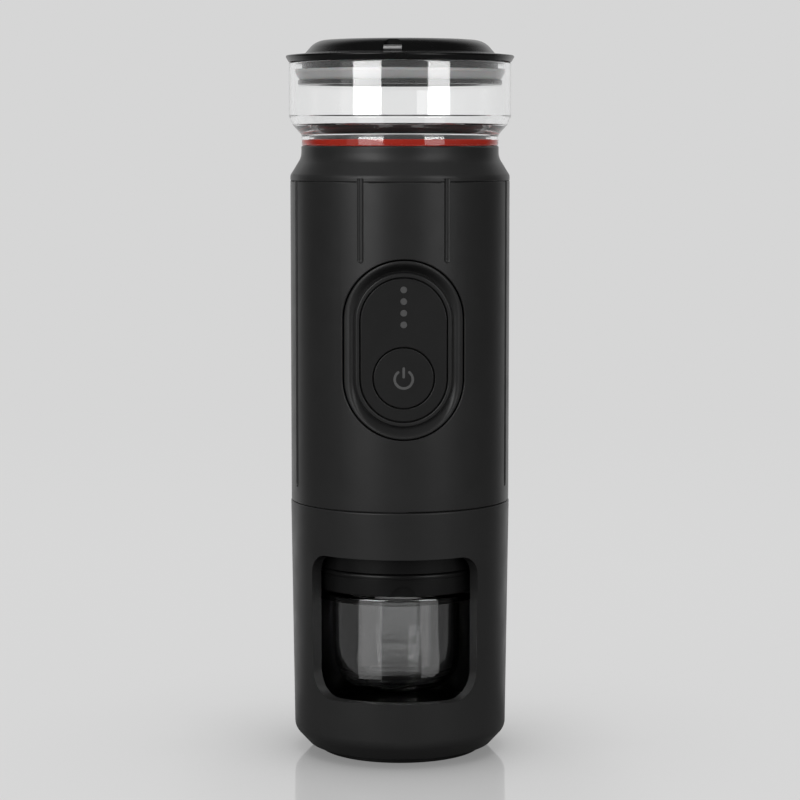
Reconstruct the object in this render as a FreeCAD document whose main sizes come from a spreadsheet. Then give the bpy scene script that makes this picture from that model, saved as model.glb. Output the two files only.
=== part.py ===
"""A battery-powered portable espresso maker that stands on a windowed shell with a glass in it.

Millimetres, +Z up, the control panel towards -Y, the origin at the centre of the foot's underside.
Each sub-part is drawn from its own base and placed by the sizes of the pieces that carry it.
"""

import FreeCAD, Part
import math
import os
import re
import Sketcher

Vector = FreeCAD.Vector
DOC = FreeCAD.newDocument("EspressoMaker")
SHEET = DOC.addObject("Spreadsheet::Sheet", "Sizes")
PARTS = []
TOLERANCE = 1e-4

SIZES = {
    # Body
    "body_radius": 37.5,
    # Fits and gaps
    "rest_gap": 0.1,
    "free_gap": 0.3,
    "snug_fit": 0.05,
    "running_fit": 0.04,
    "edge_round": 0.5,
    "seam_round": 0.4,
    "rim_round": 0.3,
    # Foot and cup shell
    "foot_inset": 3.7,
    "foot_width": 5.0,
    "foot_height": 2.2,
    "foot_sink": 1.4,
    "shell_height": 84.8,
    "shell_flare": 0.16,
    "shell_draft": 1.06,
    "sole_chamfer": 4.9,
    "shell_chamfer_height": 5.3,
    "shell_chamfer_round": 4.5,
    "shell_wall": 4.66,
    "shell_floor": 9.8,
    "sole_recess_inset": 8.0,
    "sole_recess_depth": 3.0,
    "shell_turn": -6.3,
    "window_sill": 19.9,
    "window_head": 2.3,
    "window_inner_share": 0.7667,
    "window_outer_share": 0.752,
    "window_top_round": 7.0,
    "window_bottom_round": 9.7,
    "pad_inset": 8.5,
    "pad_thickness": 1.0,
    # Glass cup
    "cup_headroom": 1.0,
    "cup_clearance": 2.6,
    "cup_taper": 3.2,
    "cup_base_round": 7.0,
    "cup_wall": 1.6,
    "cup_air": 9.2,
    "cup_inner_wall": 2.0,
    "cup_inner_floor": 8.0,
    "cup_inner_round": 9.0,
    "cup_shoulder": 3.6,
    "cup_shift": -1.0,
    # Spigot between shell and machine
    "spigot_depth": 13.5,
    "spigot_lip": 3.06,
    "spigot_wall": 2.4,
    "ring_height": 2.4,
    "ring_depth": 1.2,
    "ring_level": 5.0,
    "flange_rise": 3.6,
    "flange_thickness": 3.0,
    "flange_inset": 4.2,
    # Sleeve
    "sleeve_wall": 2.3,
    "sleeve_height": 109.6,
    "flute_radius": 1.25,
    "flute_depth": 0.75,
    "side_flute_angle": 71.0,
    "side_flute_end": 5.4,
    "front_flute_angle": 22.5,
    "front_flute_length": 26.9,
    "flute_runout": 1.2,
    # Collar
    "collar_inset": 3.8,
    "collar_height": 11.7,
    "collar_skirt": 7.0,
    "collar_skirt_wall": 2.0,
    "collar_shoulder": 1.7,
    "collar_waist": 7.9,
    "collar_waist_round": 6.0,
    "collar_floor": 10.0,
    "collar_floor_thickness": 2.0,
    "collar_spigot_wall": 2.5,
    "collar_spigot_height": 4.3,
    "gasket_depth": 1.7,
    "gasket_height": 2.5,
    "gasket_groove": 0.3,
    "inlet_hole": 4.0,
    "boss_radius": 3.0,
    "boss_inset": 6.7,
    # Water tank and lid
    "tank_overhang": 0.4,
    "tank_height": 28.1,
    "tank_wall": 2.0,
    "neck_inset": 0.1,
    "neck_wall": 2.2,
    "neck_height": 3.6,
    "tank_shoulder": 9.8,
    "tank_step": 10.5,
    "lid_overhang": 1.3,
    "lid_flange_height": 2.3,
    "lid_brim": 6.8,
    "lid_slope": 3.8,
    "lid_crown": 8.1,
    "lid_crown_drop": 0.7,
    "lid_shoulder_round": 7.0,
    "lid_dome_base": 3.0,
    "lid_wall": 2.2,
    "lid_core_inset": 5.9,
    "lid_upper_inset": 2.5,
    "lid_upper_depth": 2.4,
    "lid_seal_height": 3.7,
    "lid_seal_bevel": 1.8,
    "lid_ring_inset": 1.1,
    "lid_ring_height": 1.5,
    "lid_turn": -6.6,
    "vent_radius": 3.1,
    "vent_rise": 1.2,
    "vent_depth": 4.7,
    "vent_lip_height": 1.9,
    "vent_lip_reach": 3.6,
    # Control panel
    "bezel_half": 19.75,
    "bezel_height": 59.2,
    "panel_rise": 54.2,
    "bezel_gap": 0.45,
    "bezel_depth": 8.3,
    "bezel_slope": 3.0,
    "bezel_end_slope": 3.0,
    "dish_drop": 0.1,
    "dish_depth": 4.9,
    "dish_lip": 0.8,
    "dish_gap": 1.0,
    "ridge_sink": 3.45,
    "ridge_width": 1.45,
    "face_end_gap": 2.8,
    "face_drop": 0.2,
    "face_sink": 3.9,
    "face_thickness": 2.0,
    "face_gap": 0.45,
    "face_ledge": 1.4,
    "light_radius": 1.1,
    "light_fit": 0.02,
    "light_count": 4,
    "light_pitch": 3.87,
    "light_rise": 19.85,
    "button_margin": 4.35,
    "button_drop": 9.55,
    "button_lip": 1.0,
    "button_lip_height": 0.8,
    "button_travel": 0.8,
    "switch_width": 6.0,
    "plunger_radius": 1.6,
    "board_half": 14.5,
    "board_thickness": 1.6,
    "board_margin": 3.0,
    # Inner frame and batteries
    "deck_rise": 20.0,
    "deck_thickness": 2.5,
    "upper_deck_drop": 14.2,
    "carrier_half": 17.0,
    "carrier_thickness": 1.5,
    "post_radius": 2.2,
    "post_inset": 4.2,
    "leg_radius": 3.0,
    "leg_inset": 4.7,
    "cell_gap": 0.94,
    "cell_nub_radius": 2.8,
    "cell_nub_height": 1.0,
    "cell_ring_share": 0.64,
    "cell_step": 50.0,
    "screw_radius": 1.2,
    "screw_length": 8.0,
    "screw_head_radius": 2.4,
    "screw_head_height": 1.5,
    # Pump, hoses and boiler
    "motor_offset": -8.0,
    "motor_share": 0.32,
    "motor_height": 28.5,
    "motor_wall": 0.8,
    "motor_cap": 1.5,
    "bush_radius": 3.0,
    "shaft_radius": 1.0,
    "rotor_gap": 0.5,
    "rotor_end": 2.5,
    "rotor_slot": 2.0,
    "rotor_slot_depth": 5.0,
    "shaft_reach": 4.6,
    "eccentric_radius": 5.0,
    "eccentric_throw": 1.5,
    "eccentric_height": 4.0,
    "pump_overhang": 1.0,
    "pump_height": 17.0,
    "pump_cavity_radius": 10.0,
    "pump_cavity_height": 7.0,
    "outlet_level": 10.0,
    "outlet_reach": 4.6,
    "nipple_radius": 1.45,
    "nipple_length": 2.5,
    "hose_bore": 1.5,
    "hose_radius": 2.4,
    "hose_bend": 3.0,
    "inlet_nipple_radius": 2.4,
    "inlet_nipple_length": 5.0,
    "inlet_bore": 1.6,
    "inlet_hose_radius": 3.6,
    "inlet_flange_radius": 7.0,
    "inlet_flange_height": 1.2,
    "inlet_tube_length": 5.5,
    "strainer_radius": 9.0,
    "strainer_height": 3.2,
    "strainer_wall": 0.6,
    "strainer_slot": 1.4,
    "strainer_slots": 8,
    "valve_radius": 4.0,
    "valve_height": 11.5,
    "boiler_clearance": 2.2,
    "boiler_height": 22.0,
    "boiler_nipple_radius": 2.9,
    "boiler_nipple_length": 4.0,
    "band_thickness": 1.4,
    "band_height": 14.0,
    "band_sweep": 345.0,
    # Brew head, holder and basket
    "head_gap": 0.7,
    "head_drop": 8.3,
    "head_wall": 2.2,
    "lug_reach": 1.1,
    "head_ledge": 2.4,
    "head_lug_space": 3.0,
    "head_seat": 12.0,
    "head_screen_seat": 13.0,
    "head_chamber": 16.0,
    "chamber_inset": 2.5,
    "screen_inset": 1.1,
    "head_recess": 5.0,
    "recess_inset": 2.8,
    "head_passage": 3.0,
    "lug_height": 2.4,
    "lug_sweep": 20.0,
    "lug_slack": 4.0,
    "lug_count": 3,
    "lock_turn": 40.0,
    "gasket_width": 6.5,
    "gasket_tall": 2.8,
    "screen_holes": 12,
    "screen_hole_radius": 0.7,
    "holder_inset": 0.2,
    "holder_band": 7.6,
    "holder_round": 1.0,
    "stem_clearance": 0.4,
    "holder_stem": 15.9,
    "holder_floor": 2.0,
    "stem_wall": 3.7,
    "holder_line_level": 5.7,
    "holder_line_width": 0.4,
    "holder_line_depth": 0.35,
    "thumb_radius": 4.5,
    "thumb_drop": 0.9,
    "thumb_depth": 0.7,
    "spout_hole": 5.2,
    "spout_reach": 0.7,
    "spout_lip": 1.5,
    "spout_lip_height": 0.8,
    "spout_bore": 2.5,
    "rim_inset": 0.2,
    "basket_rim_height": 0.9,
    "basket_depth": 12.5,
    "basket_wall": 0.6,
    "basket_holes": 16,
    "basket_hole_rings": 4,
    "basket_hole_radius": 0.5,
    # Charging port
    "port_rise": 15.0,
    "port_half_width": 4.5,
    "port_half_height": 1.6,
    "port_sink": 0.2,
    "charge_board_half": 10.0,
    "socket_length": 5.4,
    "charge_board_thickness": 1.2,
    "charge_board_height": 16.0,
    "recess_half": 8.3,
    "recess_depth": 2.0,
    "recess_drop": 5.2,
    "recess_rise": 5.2,
    "port_boss_depth": 2.5,
    "port_boss_margin": 2.4,
    "cover_thickness": 1.6,
    "cover_inset": 0.1,
}

DERIVED = {
    "board_face": "bezel_back - carrier_thickness",
    "button_back": "face_front - face_thickness - free_gap - button_lip_height",
    "switch_height": "button_back - board_face - button_travel - free_gap",
    "plunger_length": "switch_height - rest_gap",
    "shell_top": "foot_height + shell_height",
    "sleeve_base": "shell_top + rest_gap",
    "sleeve_bore": "body_radius - sleeve_wall",
    "sleeve_top": "sleeve_base + sleeve_height",
    "collar_top": "sleeve_top + collar_height",
    "tank_base": "collar_top + rest_gap",
    "tank_top": "tank_base + tank_height",
    "tank_bore": "tank_radius - tank_wall",
    "spigot_step": "shell_height - spigot_depth",
    "spigot_base": "foot_height + spigot_step + free_gap",
    "spigot_radius": "spigot_bore - free_gap",
    "flange_base": "sleeve_base + flange_rise",
    "flange_top": "flange_base + flange_thickness",
    "head_height": "flange_base - head_level",
    "holder_level": "head_level - free_gap - holder_band",
    "deck_top": "deck_level + deck_thickness",
    "upper_deck": "sleeve_top - upper_deck_drop",
    "frame_span": "upper_deck - deck_top",
    "pump_base": "deck_top + motor_height",
    "pump_top": "pump_base + pump_height",
    "boiler_base": "flange_base - head_recess",
    "boiler_top": "boiler_base + boiler_height",
    "valve_x": "pump_radius + outlet_reach - rest_gap",
    "cup_level": "foot_height + shell_floor + pad_thickness + rest_gap",
    "foot_radius": "shell_sole_radius - foot_inset",
    "shell_top_radius": "body_radius + shell_flare",
    "shell_base_radius": "shell_top_radius - shell_draft",
    "shell_sole_radius": "shell_base_radius - sole_chamfer",
    "shell_bore": "shell_top_radius - shell_wall",
    "sole_recess_radius": "foot_radius - sole_recess_inset",
    "window_height": "spigot_step - window_head - window_sill",
    "window_inner_half": "shell_bore * window_inner_share",
    "window_outer_half": "body_radius * window_outer_share",
    "pad_radius": "shell_bore - pad_inset",
    "cup_height": "holder_level - cup_level - cup_headroom",
    "cup_radius": "shell_bore - cup_clearance",
    "cup_base_radius": "cup_radius - cup_taper",
    "cup_inner_radius": "cup_radius - cup_wall - cup_air",
    "spigot_bore": "shell_top_radius - spigot_lip",
    "flange_bore": "head_radius - flange_inset",
    "collar_radius": "body_radius - collar_inset",
    "collar_spigot_radius": "neck_radius - neck_wall - free_gap",
    "boss_ring": "sleeve_bore - boss_inset",
    "tank_radius": "body_radius + tank_overhang",
    "neck_radius": "collar_radius - neck_inset",
    "lid_tip_radius": "tank_radius + lid_overhang",
    "lid_dome_foot": "lid_tip_radius - lid_brim",
    "lid_dome_edge": "lid_dome_foot - lid_slope",
    "lid_core_radius": "tank_bore - lid_core_inset",
    "lid_upper_radius": "tank_bore - lid_upper_inset",
    "lid_ring_radius": "tank_bore - lid_ring_inset",
    "vent_level": "lid_dome_base + rest_gap",
    "vent_depth_radius": "lid_dome_foot - vent_depth",
    "bezel_centre": "sleeve_base + panel_rise",
    "bezel_back": "body_radius - bezel_depth",
    "dish_half": "bezel_half - bezel_slope",
    "dish_height": "bezel_height - 2 * bezel_end_slope",
    "dish_floor": "body_radius - dish_depth",
    "ridge_half": "dish_half - dish_gap",
    "ridge_crest": "body_radius - ridge_sink",
    "face_half": "ridge_half - ridge_width",
    "face_height": "dish_height - 2 * face_end_gap",
    "face_front": "body_radius - face_sink",
    "light_top": "bezel_centre + light_rise",
    "button_radius": "face_half - button_margin",
    "button_level": "bezel_centre - button_drop",
    "deck_level": "flange_top + deck_rise",
    "post_ring": "sleeve_bore - post_inset",
    "leg_ring": "sleeve_bore - leg_inset",
    "cell_radius": "cell_ring * sin(cell_step / 2) - cell_gap",
    "cell_height": "frame_span - cell_nub_height - free_gap",
    "cell_ring": "body_radius * cell_ring_share",
    "motor_radius": "body_radius * motor_share",
    "pump_radius": "motor_radius + pump_overhang",
    "boiler_radius": "head_recess_radius - boiler_clearance",
    "head_radius": "spigot_radius - spigot_wall - head_gap",
    "head_level": "spigot_base - head_drop",
    "head_bore": "head_radius - head_wall",
    "head_lug_bore": "head_bore + lug_reach",
    "head_chamber_radius": "head_bore - chamber_inset",
    "head_screen_bore": "head_bore - screen_inset",
    "head_recess_radius": "head_bore - recess_inset",
    "gasket_inner": "head_bore - gasket_width",
    "holder_radius": "head_radius - holder_inset",
    "holder_stem_radius": "head_bore - stem_clearance",
    "holder_bore": "holder_stem_radius - stem_wall",
    "basket_rim_radius": "holder_stem_radius - rim_inset",
    "port_level": "sleeve_base + port_rise",
    "port_reach": "recess_floor - port_sink",
    "charge_board_back": "port_boss_front - socket_length",
    "recess_floor": "body_radius - recess_depth",
    "port_boss_front": "recess_floor - port_boss_depth",
}

FUNCTIONS = {"sin", "cos", "atan", "sqrt"}
WORD = re.compile(r"[A-Za-z_]\w*")


def fill_sheet():
    """Writes the driving sizes, then the ones that follow from them, each with its alias."""
    rows = [(name, str(value)) for name, value in SIZES.items()]
    rows += [(name, "=" + formula) for name, formula in DERIVED.items()]
    for row, (name, content) in enumerate(rows, 1):
        SHEET.set(f"A{row}", name)
        SHEET.setAlias(f"B{row}", name)
    for row, (name, content) in enumerate(rows, 1):
        SHEET.set(f"B{row}", content)
    DOC.recompute()


def size(formula):
    """The number that a formula of the sheet's names gives now."""
    return float(SHEET.evalExpression(str(formula)))


def link(formula):
    """The same formula as an expression that an object outside the sheet can hold."""

    def named(match):
        word = match.group()
        return word if word in FUNCTIONS else "Sizes." + word

    return WORD.sub(named, str(formula))


def bind(thing, path, formula):
    thing.setExpression(path, link(formula))


def new_body(label, up="0", across="0", back="0", turn="0"):
    """A sub-part's body, placed by formulas and turned about its upright axis."""
    body = DOC.addObject("PartDesign::Body", label)
    body.Label = label
    body.AllowCompound = True
    for path, formula in (("x", across), ("y", back), ("z", up)):
        if formula != "0":
            bind(body, "Placement.Base." + path, formula)
    if turn != "0":
        body.Placement = FreeCAD.Placement(Vector(), FreeCAD.Rotation(Vector(0, 0, 1), size(turn)))
        bind(body, "Placement.Rotation.Angle", turn)
    PARTS.append(body)
    return body


def origin_feature(body, role):
    return next(feature for feature in body.Origin.OriginFeatures if feature.Role == role)


def new_sketch(body, plane, offset="0", swing=None):
    """A sketch on XY_Plane (up is +Z), XZ_Plane (out is -Y) or YZ_Plane, moved out by offset."""
    sketch = body.newObject("Sketcher::SketchObject", "Outline")
    sketch.AttachmentSupport = [(origin_feature(body, plane), "")]
    sketch.MapMode = "FlatFace"
    if swing is not None:
        upright = FreeCAD.Rotation(Vector(0, 1, 0), size(swing))
        sketch.AttachmentOffset = FreeCAD.Placement(Vector(), upright)
        bind(sketch, "AttachmentOffset.Rotation.Angle", swing)
    if offset != "0":
        bind(sketch, "AttachmentOffset.Base.z", offset)
    return sketch


class Rules:
    """Collects a sketch's constraints and adds them in one go, so that nothing moves in between."""

    def __init__(self, sketch):
        self.sketch = sketch
        self.items = []

    def add(self, *facts, formula=None):
        self.items.append((Sketcher.Constraint(*facts), formula))

    def hold(self, geometry, point, across, up):
        """Holds a point of the sketch at two formulas."""
        for kind, formula, axis in (("DistanceX", across, -2), ("DistanceY", up, -1)):
            value = size(formula)
            if abs(value) < TOLERANCE:
                self.add("PointOnObject", geometry, point, axis)
            else:
                self.add(kind, -1, 1, geometry, point, value, formula=formula)

    def radius(self, geometry, formula):
        self.add("Radius", geometry, size(formula), formula=formula)

    def close(self):
        first = len(self.sketch.Constraints)
        self.sketch.addConstraint([constraint for constraint, formula in self.items])
        for index, (constraint, formula) in enumerate(self.items, first):
            if formula is not None:
                bind(self.sketch, f"Constraints[{index}]", formula)


def corner_arc(before, corner, after, radius):
    """The arc that rounds a corner, and where it meets the side before and the side after."""
    to_before = (before - corner).normalize()
    to_after = (after - corner).normalize()
    half = to_before.getAngle(to_after) / 2
    reach = radius / math.tan(half)
    centre = corner + (to_before + to_after).normalize() * (radius / math.sin(half))
    arrive = corner + to_before * reach
    leave = corner + to_after * reach
    ends = [math.atan2(point.y - centre.y, point.x - centre.x) for point in (arrive, leave)]
    if (ends[1] - ends[0]) % (2 * math.pi) > math.pi:
        ends.reverse()
    if ends[1] < ends[0]:
        ends[1] += 2 * math.pi
    arc = Part.ArcOfCircle(Part.Circle(centre, Vector(0, 0, 1), radius), *ends)
    return arc, arrive, leave


def outline(sketch, corners):
    """A closed outline. A corner is (across, up), or (across, up, radius) where it is rounded."""
    points = [Vector(size(c[0]), size(c[1]), 0) for c in corners]
    count = len(corners)
    starts = list(points)
    ends = list(points)
    arcs = {}
    for i, corner in enumerate(corners):
        if len(corner) == 3:
            before = points[i - 1]
            after = points[(i + 1) % count]
            arcs[i], ends[i], starts[i] = corner_arc(before, points[i], after, size(corner[2]))
    sides = []
    for i in range(count):
        side = Part.LineSegment(starts[i], ends[(i + 1) % count])
        sides.append(sketch.addGeometry(side, False))
    rules = Rules(sketch)
    for i, corner in enumerate(corners):
        if i in arcs:
            join_arc(rules, arcs[i], sides[i - 1], sides[i], points[i], corner)
        else:
            rules.add("Coincident", sides[i - 1], 2, sides[i], 1)
            rules.hold(sides[i], 1, corner[0], corner[1])
    rules.close()


def join_arc(rules, arc, arriving, leaving, point, corner):
    """Rounds one corner: the arc touches both sides, which still pass through the corner's point."""
    sketch = rules.sketch
    round_id = sketch.addGeometry(arc, False)
    first = 1
    if (sketch.Geometry[round_id].StartPoint - sketch.Geometry[arriving].EndPoint).Length > TOLERANCE:
        first = 2
    rules.add("Tangent", arriving, 2, round_id, first)
    rules.add("Tangent", leaving, 1, round_id, 3 - first)
    rules.radius(round_id, corner[2])
    mark = sketch.addGeometry(Part.Point(point), True)
    rules.add("PointOnObject", mark, 1, arriving)
    rules.add("PointOnObject", mark, 1, leaving)
    rules.hold(mark, 1, corner[0], corner[1])


def circle(sketch, radius, across="0", up="0"):
    centre = Vector(size(across), size(up), 0)
    ring = sketch.addGeometry(Part.Circle(centre, Vector(0, 0, 1), size(radius)), False)
    rules = Rules(sketch)
    rules.hold(ring, 3, across, up)
    rules.radius(ring, radius)
    rules.close()


def rectangle(sketch, left, right, low, high):
    outline(sketch, [(left, low), (right, low), (right, high), (left, high)])


def stadium(sketch, half, height, level):
    """An upright outline with straight sides and round ends, centred at a level."""
    radius = size(half)
    low = size(f"{level} - {height} / 2 + {half}")
    high = size(f"{level} + {height} / 2 - {half}")
    turn = Vector(0, 0, 1)
    cap = Part.ArcOfCircle(Part.Circle(Vector(0, high, 0), turn, radius), 0, math.pi)
    cup = Part.ArcOfCircle(Part.Circle(Vector(0, low, 0), turn, radius), math.pi, 2 * math.pi)
    left = Part.LineSegment(Vector(-radius, high, 0), Vector(-radius, low, 0))
    right = Part.LineSegment(Vector(radius, low, 0), Vector(radius, high, 0))
    top, first, bottom, second = [sketch.addGeometry(g, False) for g in (cap, left, cup, right)]
    rules = Rules(sketch)
    for before, after in ((top, first), (first, bottom), (bottom, second), (second, top)):
        rules.add("Tangent", before, 2, after, 1)
    rules.hold(top, 3, "0", f"{level} + {height} / 2 - {half}")
    rules.hold(bottom, 3, "0", f"{level} - {height} / 2 + {half}")
    rules.radius(top, half)
    rules.close()


def revolve(body, sketch, sweep="360"):
    feature = body.newObject("PartDesign::Revolution", "Turned")
    feature.Profile = sketch
    feature.ReferenceAxis = (sketch, ["V_Axis"])
    bind(feature, "Angle", sweep)
    sketch.Visibility = False
    return feature


def groove(body, sketch, sweep="360", axis="V_Axis"):
    feature = body.newObject("PartDesign::Groove", "TurnedCut")
    feature.Profile = sketch
    feature.ReferenceAxis = (sketch, [axis])
    bind(feature, "Angle", sweep)
    return feature


def pad(body, sketch, length, backwards=False):
    feature = body.newObject("PartDesign::Pad", "Raised")
    feature.Profile = sketch
    feature.Reversed = backwards
    bind(feature, "Length", length)
    return feature


def pocket(body, sketch, length, along=False):
    """Cuts against the sketch's outward direction, or along it."""
    feature = body.newObject("PartDesign::Pocket", "Cut")
    feature.Profile = sketch
    feature.Reversed = along
    bind(feature, "Length", length)
    return feature


def polar(body, originals, count, sweep="360"):
    """Copies features evenly round the upright axis, over a whole turn or a smaller sweep."""
    feature = body.newObject("PartDesign::PolarPattern", "Copies")
    feature.Originals = originals
    feature.Axis = (origin_feature(body, "Z_Axis"), [""])
    bind(feature, "Angle", sweep)
    bind(feature, "Occurrences", count)
    body.Tip = feature
    return feature


def turned(label, corners, **place):
    """A body that is one outline turned about the upright axis."""
    body = new_body(label, **place)
    sketch = new_sketch(body, "XZ_Plane")
    outline(sketch, corners)
    revolve(body, sketch)
    return body


def round_edges(body, radius, wanted):
    """Rounds the edges of the body so far that the test picks."""
    DOC.recompute()
    base = body.Tip
    names = [f"Edge{i}" for i, edge in enumerate(base.Shape.Edges, 1) if wanted(edge)]
    feature = body.newObject("PartDesign::Fillet", "Rounded")
    feature.Base = (base, names)
    bind(feature, "Radius", radius)
    return feature


def near(first, second):
    return abs(first - second) < TOLERANCE


def on_skin(edge):
    """An edge that lies on the body's outer cylinder, towards the front."""
    radius = size("body_radius")
    start, end = edge.ParameterRange
    places = [edge.valueAt(start + (end - start) * share) for share in (0, 0.3, 0.5, 1)]
    return all(near(math.hypot(place.x, place.y), radius) and place.y < 0 for place in places)


# ---------------------------------------------------------------- shell, foot and cup


def foot_ring():
    inner = "foot_radius - foot_width"
    top = "foot_height + foot_sink"
    corners = [(inner, "0"), ("foot_radius", "0", "edge_round"), ("foot_radius", top), (inner, top)]
    turned("foot_ring", corners)


def cup_shell():
    """The shell that holds the glass: chamfered sole, well, spigot step and bevelled window."""
    body = new_body("cup_shell", up="foot_height", turn="shell_turn")
    profile = new_sketch(body, "XZ_Plane")
    foot_inner = "foot_radius - foot_width - snug_fit"
    foot_outer = "foot_radius + snug_fit"
    corners = [
        ("0", "sole_recess_depth"),
        ("sole_recess_radius", "sole_recess_depth"),
        ("sole_recess_radius", "0"),
        (foot_inner, "0"),
        (foot_inner, "foot_sink"),
        (foot_outer, "foot_sink"),
        (foot_outer, "0"),
        ("shell_sole_radius", "0", "edge_round"),
        ("shell_base_radius", "shell_chamfer_height", "shell_chamfer_round"),
        ("shell_top_radius", "shell_height", "edge_round"),
        ("spigot_bore", "shell_height"),
        ("spigot_bore", "spigot_step"),
        ("shell_bore", "spigot_step"),
        ("shell_bore", "shell_floor"),
        ("0", "shell_floor"),
    ]
    outline(profile, corners)
    revolve(body, profile)
    cut_window(body)


def cut_window(body):
    """The window's flanks slant outwards, so each shows a broad bevel that fades out at the middle."""
    inner_depth = "sqrt(shell_bore * shell_bore - window_inner_half * window_inner_half)"
    outer_depth = "sqrt(body_radius * body_radius - window_outer_half * window_outer_half)"
    far_half = "(3 * window_outer_half - window_inner_half) / 2"
    far_depth = f"(3 * {outer_depth} - {inner_depth}) / 2"
    beyond = "body_radius + shell_chamfer_height"
    sketch = new_sketch(body, "XY_Plane", offset="window_sill")
    corners = [
        ("-(window_inner_half)", f"-({inner_depth})"),
        ("window_inner_half", f"-({inner_depth})"),
        (far_half, f"-({far_depth})"),
        (far_half, f"-({beyond})"),
        (f"-({far_half})", f"-({beyond})"),
        (f"-({far_half})", f"-({far_depth})"),
    ]
    outline(sketch, corners)
    pocket(body, sketch, "window_height", along=True)
    inner_half = size("window_inner_half")

    def at_corner(level):
        def wanted(edge):
            ends = [vertex.Point for vertex in edge.Vertexes]
            if not isinstance(edge.Curve, Part.Line) or len(ends) != 2:
                return False
            level_ends = near(ends[0].z, level) and near(ends[1].z, level)
            return level_ends and min(abs(ends[0].x), abs(ends[1].x)) > inner_half - TOLERANCE

        return wanted

    round_edges(body, "window_bottom_round", at_corner(size("window_sill")))
    round_edges(body, "window_top_round", at_corner(size("window_sill + window_height")))


def cup_pad():
    corners = [
        ("0", "0"),
        ("pad_radius", "0"),
        ("pad_radius", "pad_thickness", "pad_thickness / 4"),
        ("0", "pad_thickness"),
    ]
    turned("cup_pad", corners, up="foot_height + shell_floor")


def glass_cup():
    """A double-walled espresso glass. Its two walls join at the rim round a closed air space."""
    inner_outside = "cup_inner_radius + cup_inner_wall"
    outer_inside = "cup_radius - cup_wall"
    base_inside = "cup_base_radius - cup_wall"
    drink_floor = "cup_inner_floor + cup_inner_wall"
    shoulder = "cup_height - cup_shoulder"
    corners = [
        ("0", "0"),
        ("cup_base_radius", "0", "cup_base_round"),
        ("cup_radius", "cup_height", "cup_wall / 3"),
        (outer_inside, "cup_height", "cup_wall / 3"),
        ("cup_inner_radius", shoulder, "cup_wall"),
        ("cup_inner_radius", drink_floor, "cup_inner_round"),
        ("0", drink_floor),
        ("0", "cup_inner_floor"),
        (inner_outside, "cup_inner_floor", "cup_inner_round + cup_inner_wall"),
        (inner_outside, f"{shoulder} - cup_inner_wall"),
        (outer_inside, f"{shoulder} - cup_inner_wall / 2"),
        (base_inside, "cup_wall", "cup_base_round - cup_wall"),
        ("0", "cup_wall"),
    ]
    turned("glass_cup", corners, up="cup_level", across="cup_shift")


# ---------------------------------------------------------------- spigot and brew head


def spigot_ring():
    """The friction ring that lets the machine slide and turn in the shell."""
    inner = "spigot_radius - ring_depth + snug_fit"
    outer = "spigot_bore - snug_fit"
    low = "rest_gap"
    high = "ring_height - rest_gap"
    corners = [(inner, low), (outer, low, "edge_round"), (outer, high, "edge_round"), (inner, high)]
    turned("spigot_ring", corners, up="spigot_base + ring_level")


def base_ring():
    """The machine's lower ring: the spigot below, and the flange that carries frame and brew head."""
    body = new_body("base_ring", up="spigot_base")
    seam = "sleeve_base - spigot_base"
    flange_low = "flange_base - spigot_base"
    flange_high = "flange_top - spigot_base"
    groove_bed = "spigot_radius - ring_depth"
    groove_top = "ring_level + ring_height"
    inner = "spigot_radius - spigot_wall"
    corners = [
        (inner, "0"),
        ("spigot_radius", "0", "edge_round"),
        ("spigot_radius", "ring_level"),
        (groove_bed, "ring_level"),
        (groove_bed, groove_top),
        ("spigot_radius", groove_top),
        ("spigot_radius", seam),
        ("sleeve_bore - snug_fit", seam),
        ("sleeve_bore - snug_fit", flange_high),
        ("flange_bore", flange_high),
        ("flange_bore", flange_low),
        (inner, flange_low),
    ]
    profile = new_sketch(body, "XZ_Plane")
    outline(profile, corners)
    revolve(body, profile)
    shanks = new_sketch(body, "XY_Plane", offset=flange_high)
    heads = new_sketch(body, "XY_Plane", offset=flange_low)
    for across, back in leg_places():
        circle(shanks, "screw_radius + snug_fit", across, back)
        circle(heads, "screw_head_radius + snug_fit", across, back)
    pocket(body, shanks, "flange_thickness")
    pocket(body, heads, "screw_head_height", along=True)


def ring_places(radius, angles):
    """Formulas for points on a circle about the upright axis."""
    return [(f"{radius} * cos({angle})", f"{radius} * sin({angle})") for angle in angles]


def leg_places():
    return ring_places("leg_ring", (40, 140, 220, 320))


def boss_places():
    return ring_places("boss_ring", (0, 180, 300))


def brew_head():
    """The head that the holder locks into, with three entry slots under its lug groove."""
    body = new_body("brew_head", up="head_level")
    lug_top = "head_ledge + head_lug_space"
    recess = "head_height - head_recess"
    corners = [
        ("head_bore", "0"),
        ("head_radius", "0"),
        ("head_radius", "head_height"),
        ("head_recess_radius", "head_height"),
        ("head_recess_radius", recess),
        ("head_passage", recess),
        ("head_passage", "head_chamber"),
        ("head_chamber_radius", "head_chamber"),
        ("head_chamber_radius", "head_screen_seat"),
        ("head_screen_bore", "head_screen_seat"),
        ("head_screen_bore", "head_seat"),
        ("head_bore", "head_seat"),
        ("head_bore", lug_top),
        ("head_lug_bore", lug_top),
        ("head_lug_bore", "head_ledge"),
        ("head_bore", "head_ledge"),
    ]
    profile = new_sketch(body, "XZ_Plane")
    outline(profile, corners)
    revolve(body, profile)
    slot = new_sketch(body, "XZ_Plane", swing="-(lock_turn + lug_slack / 2)")
    rectangle(slot, "head_bore - edge_round", "head_lug_bore", "0", "head_ledge + rest_gap")
    first = groove(body, slot, sweep="lug_sweep + lug_slack")
    polar(body, [first], "lug_count")


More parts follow.
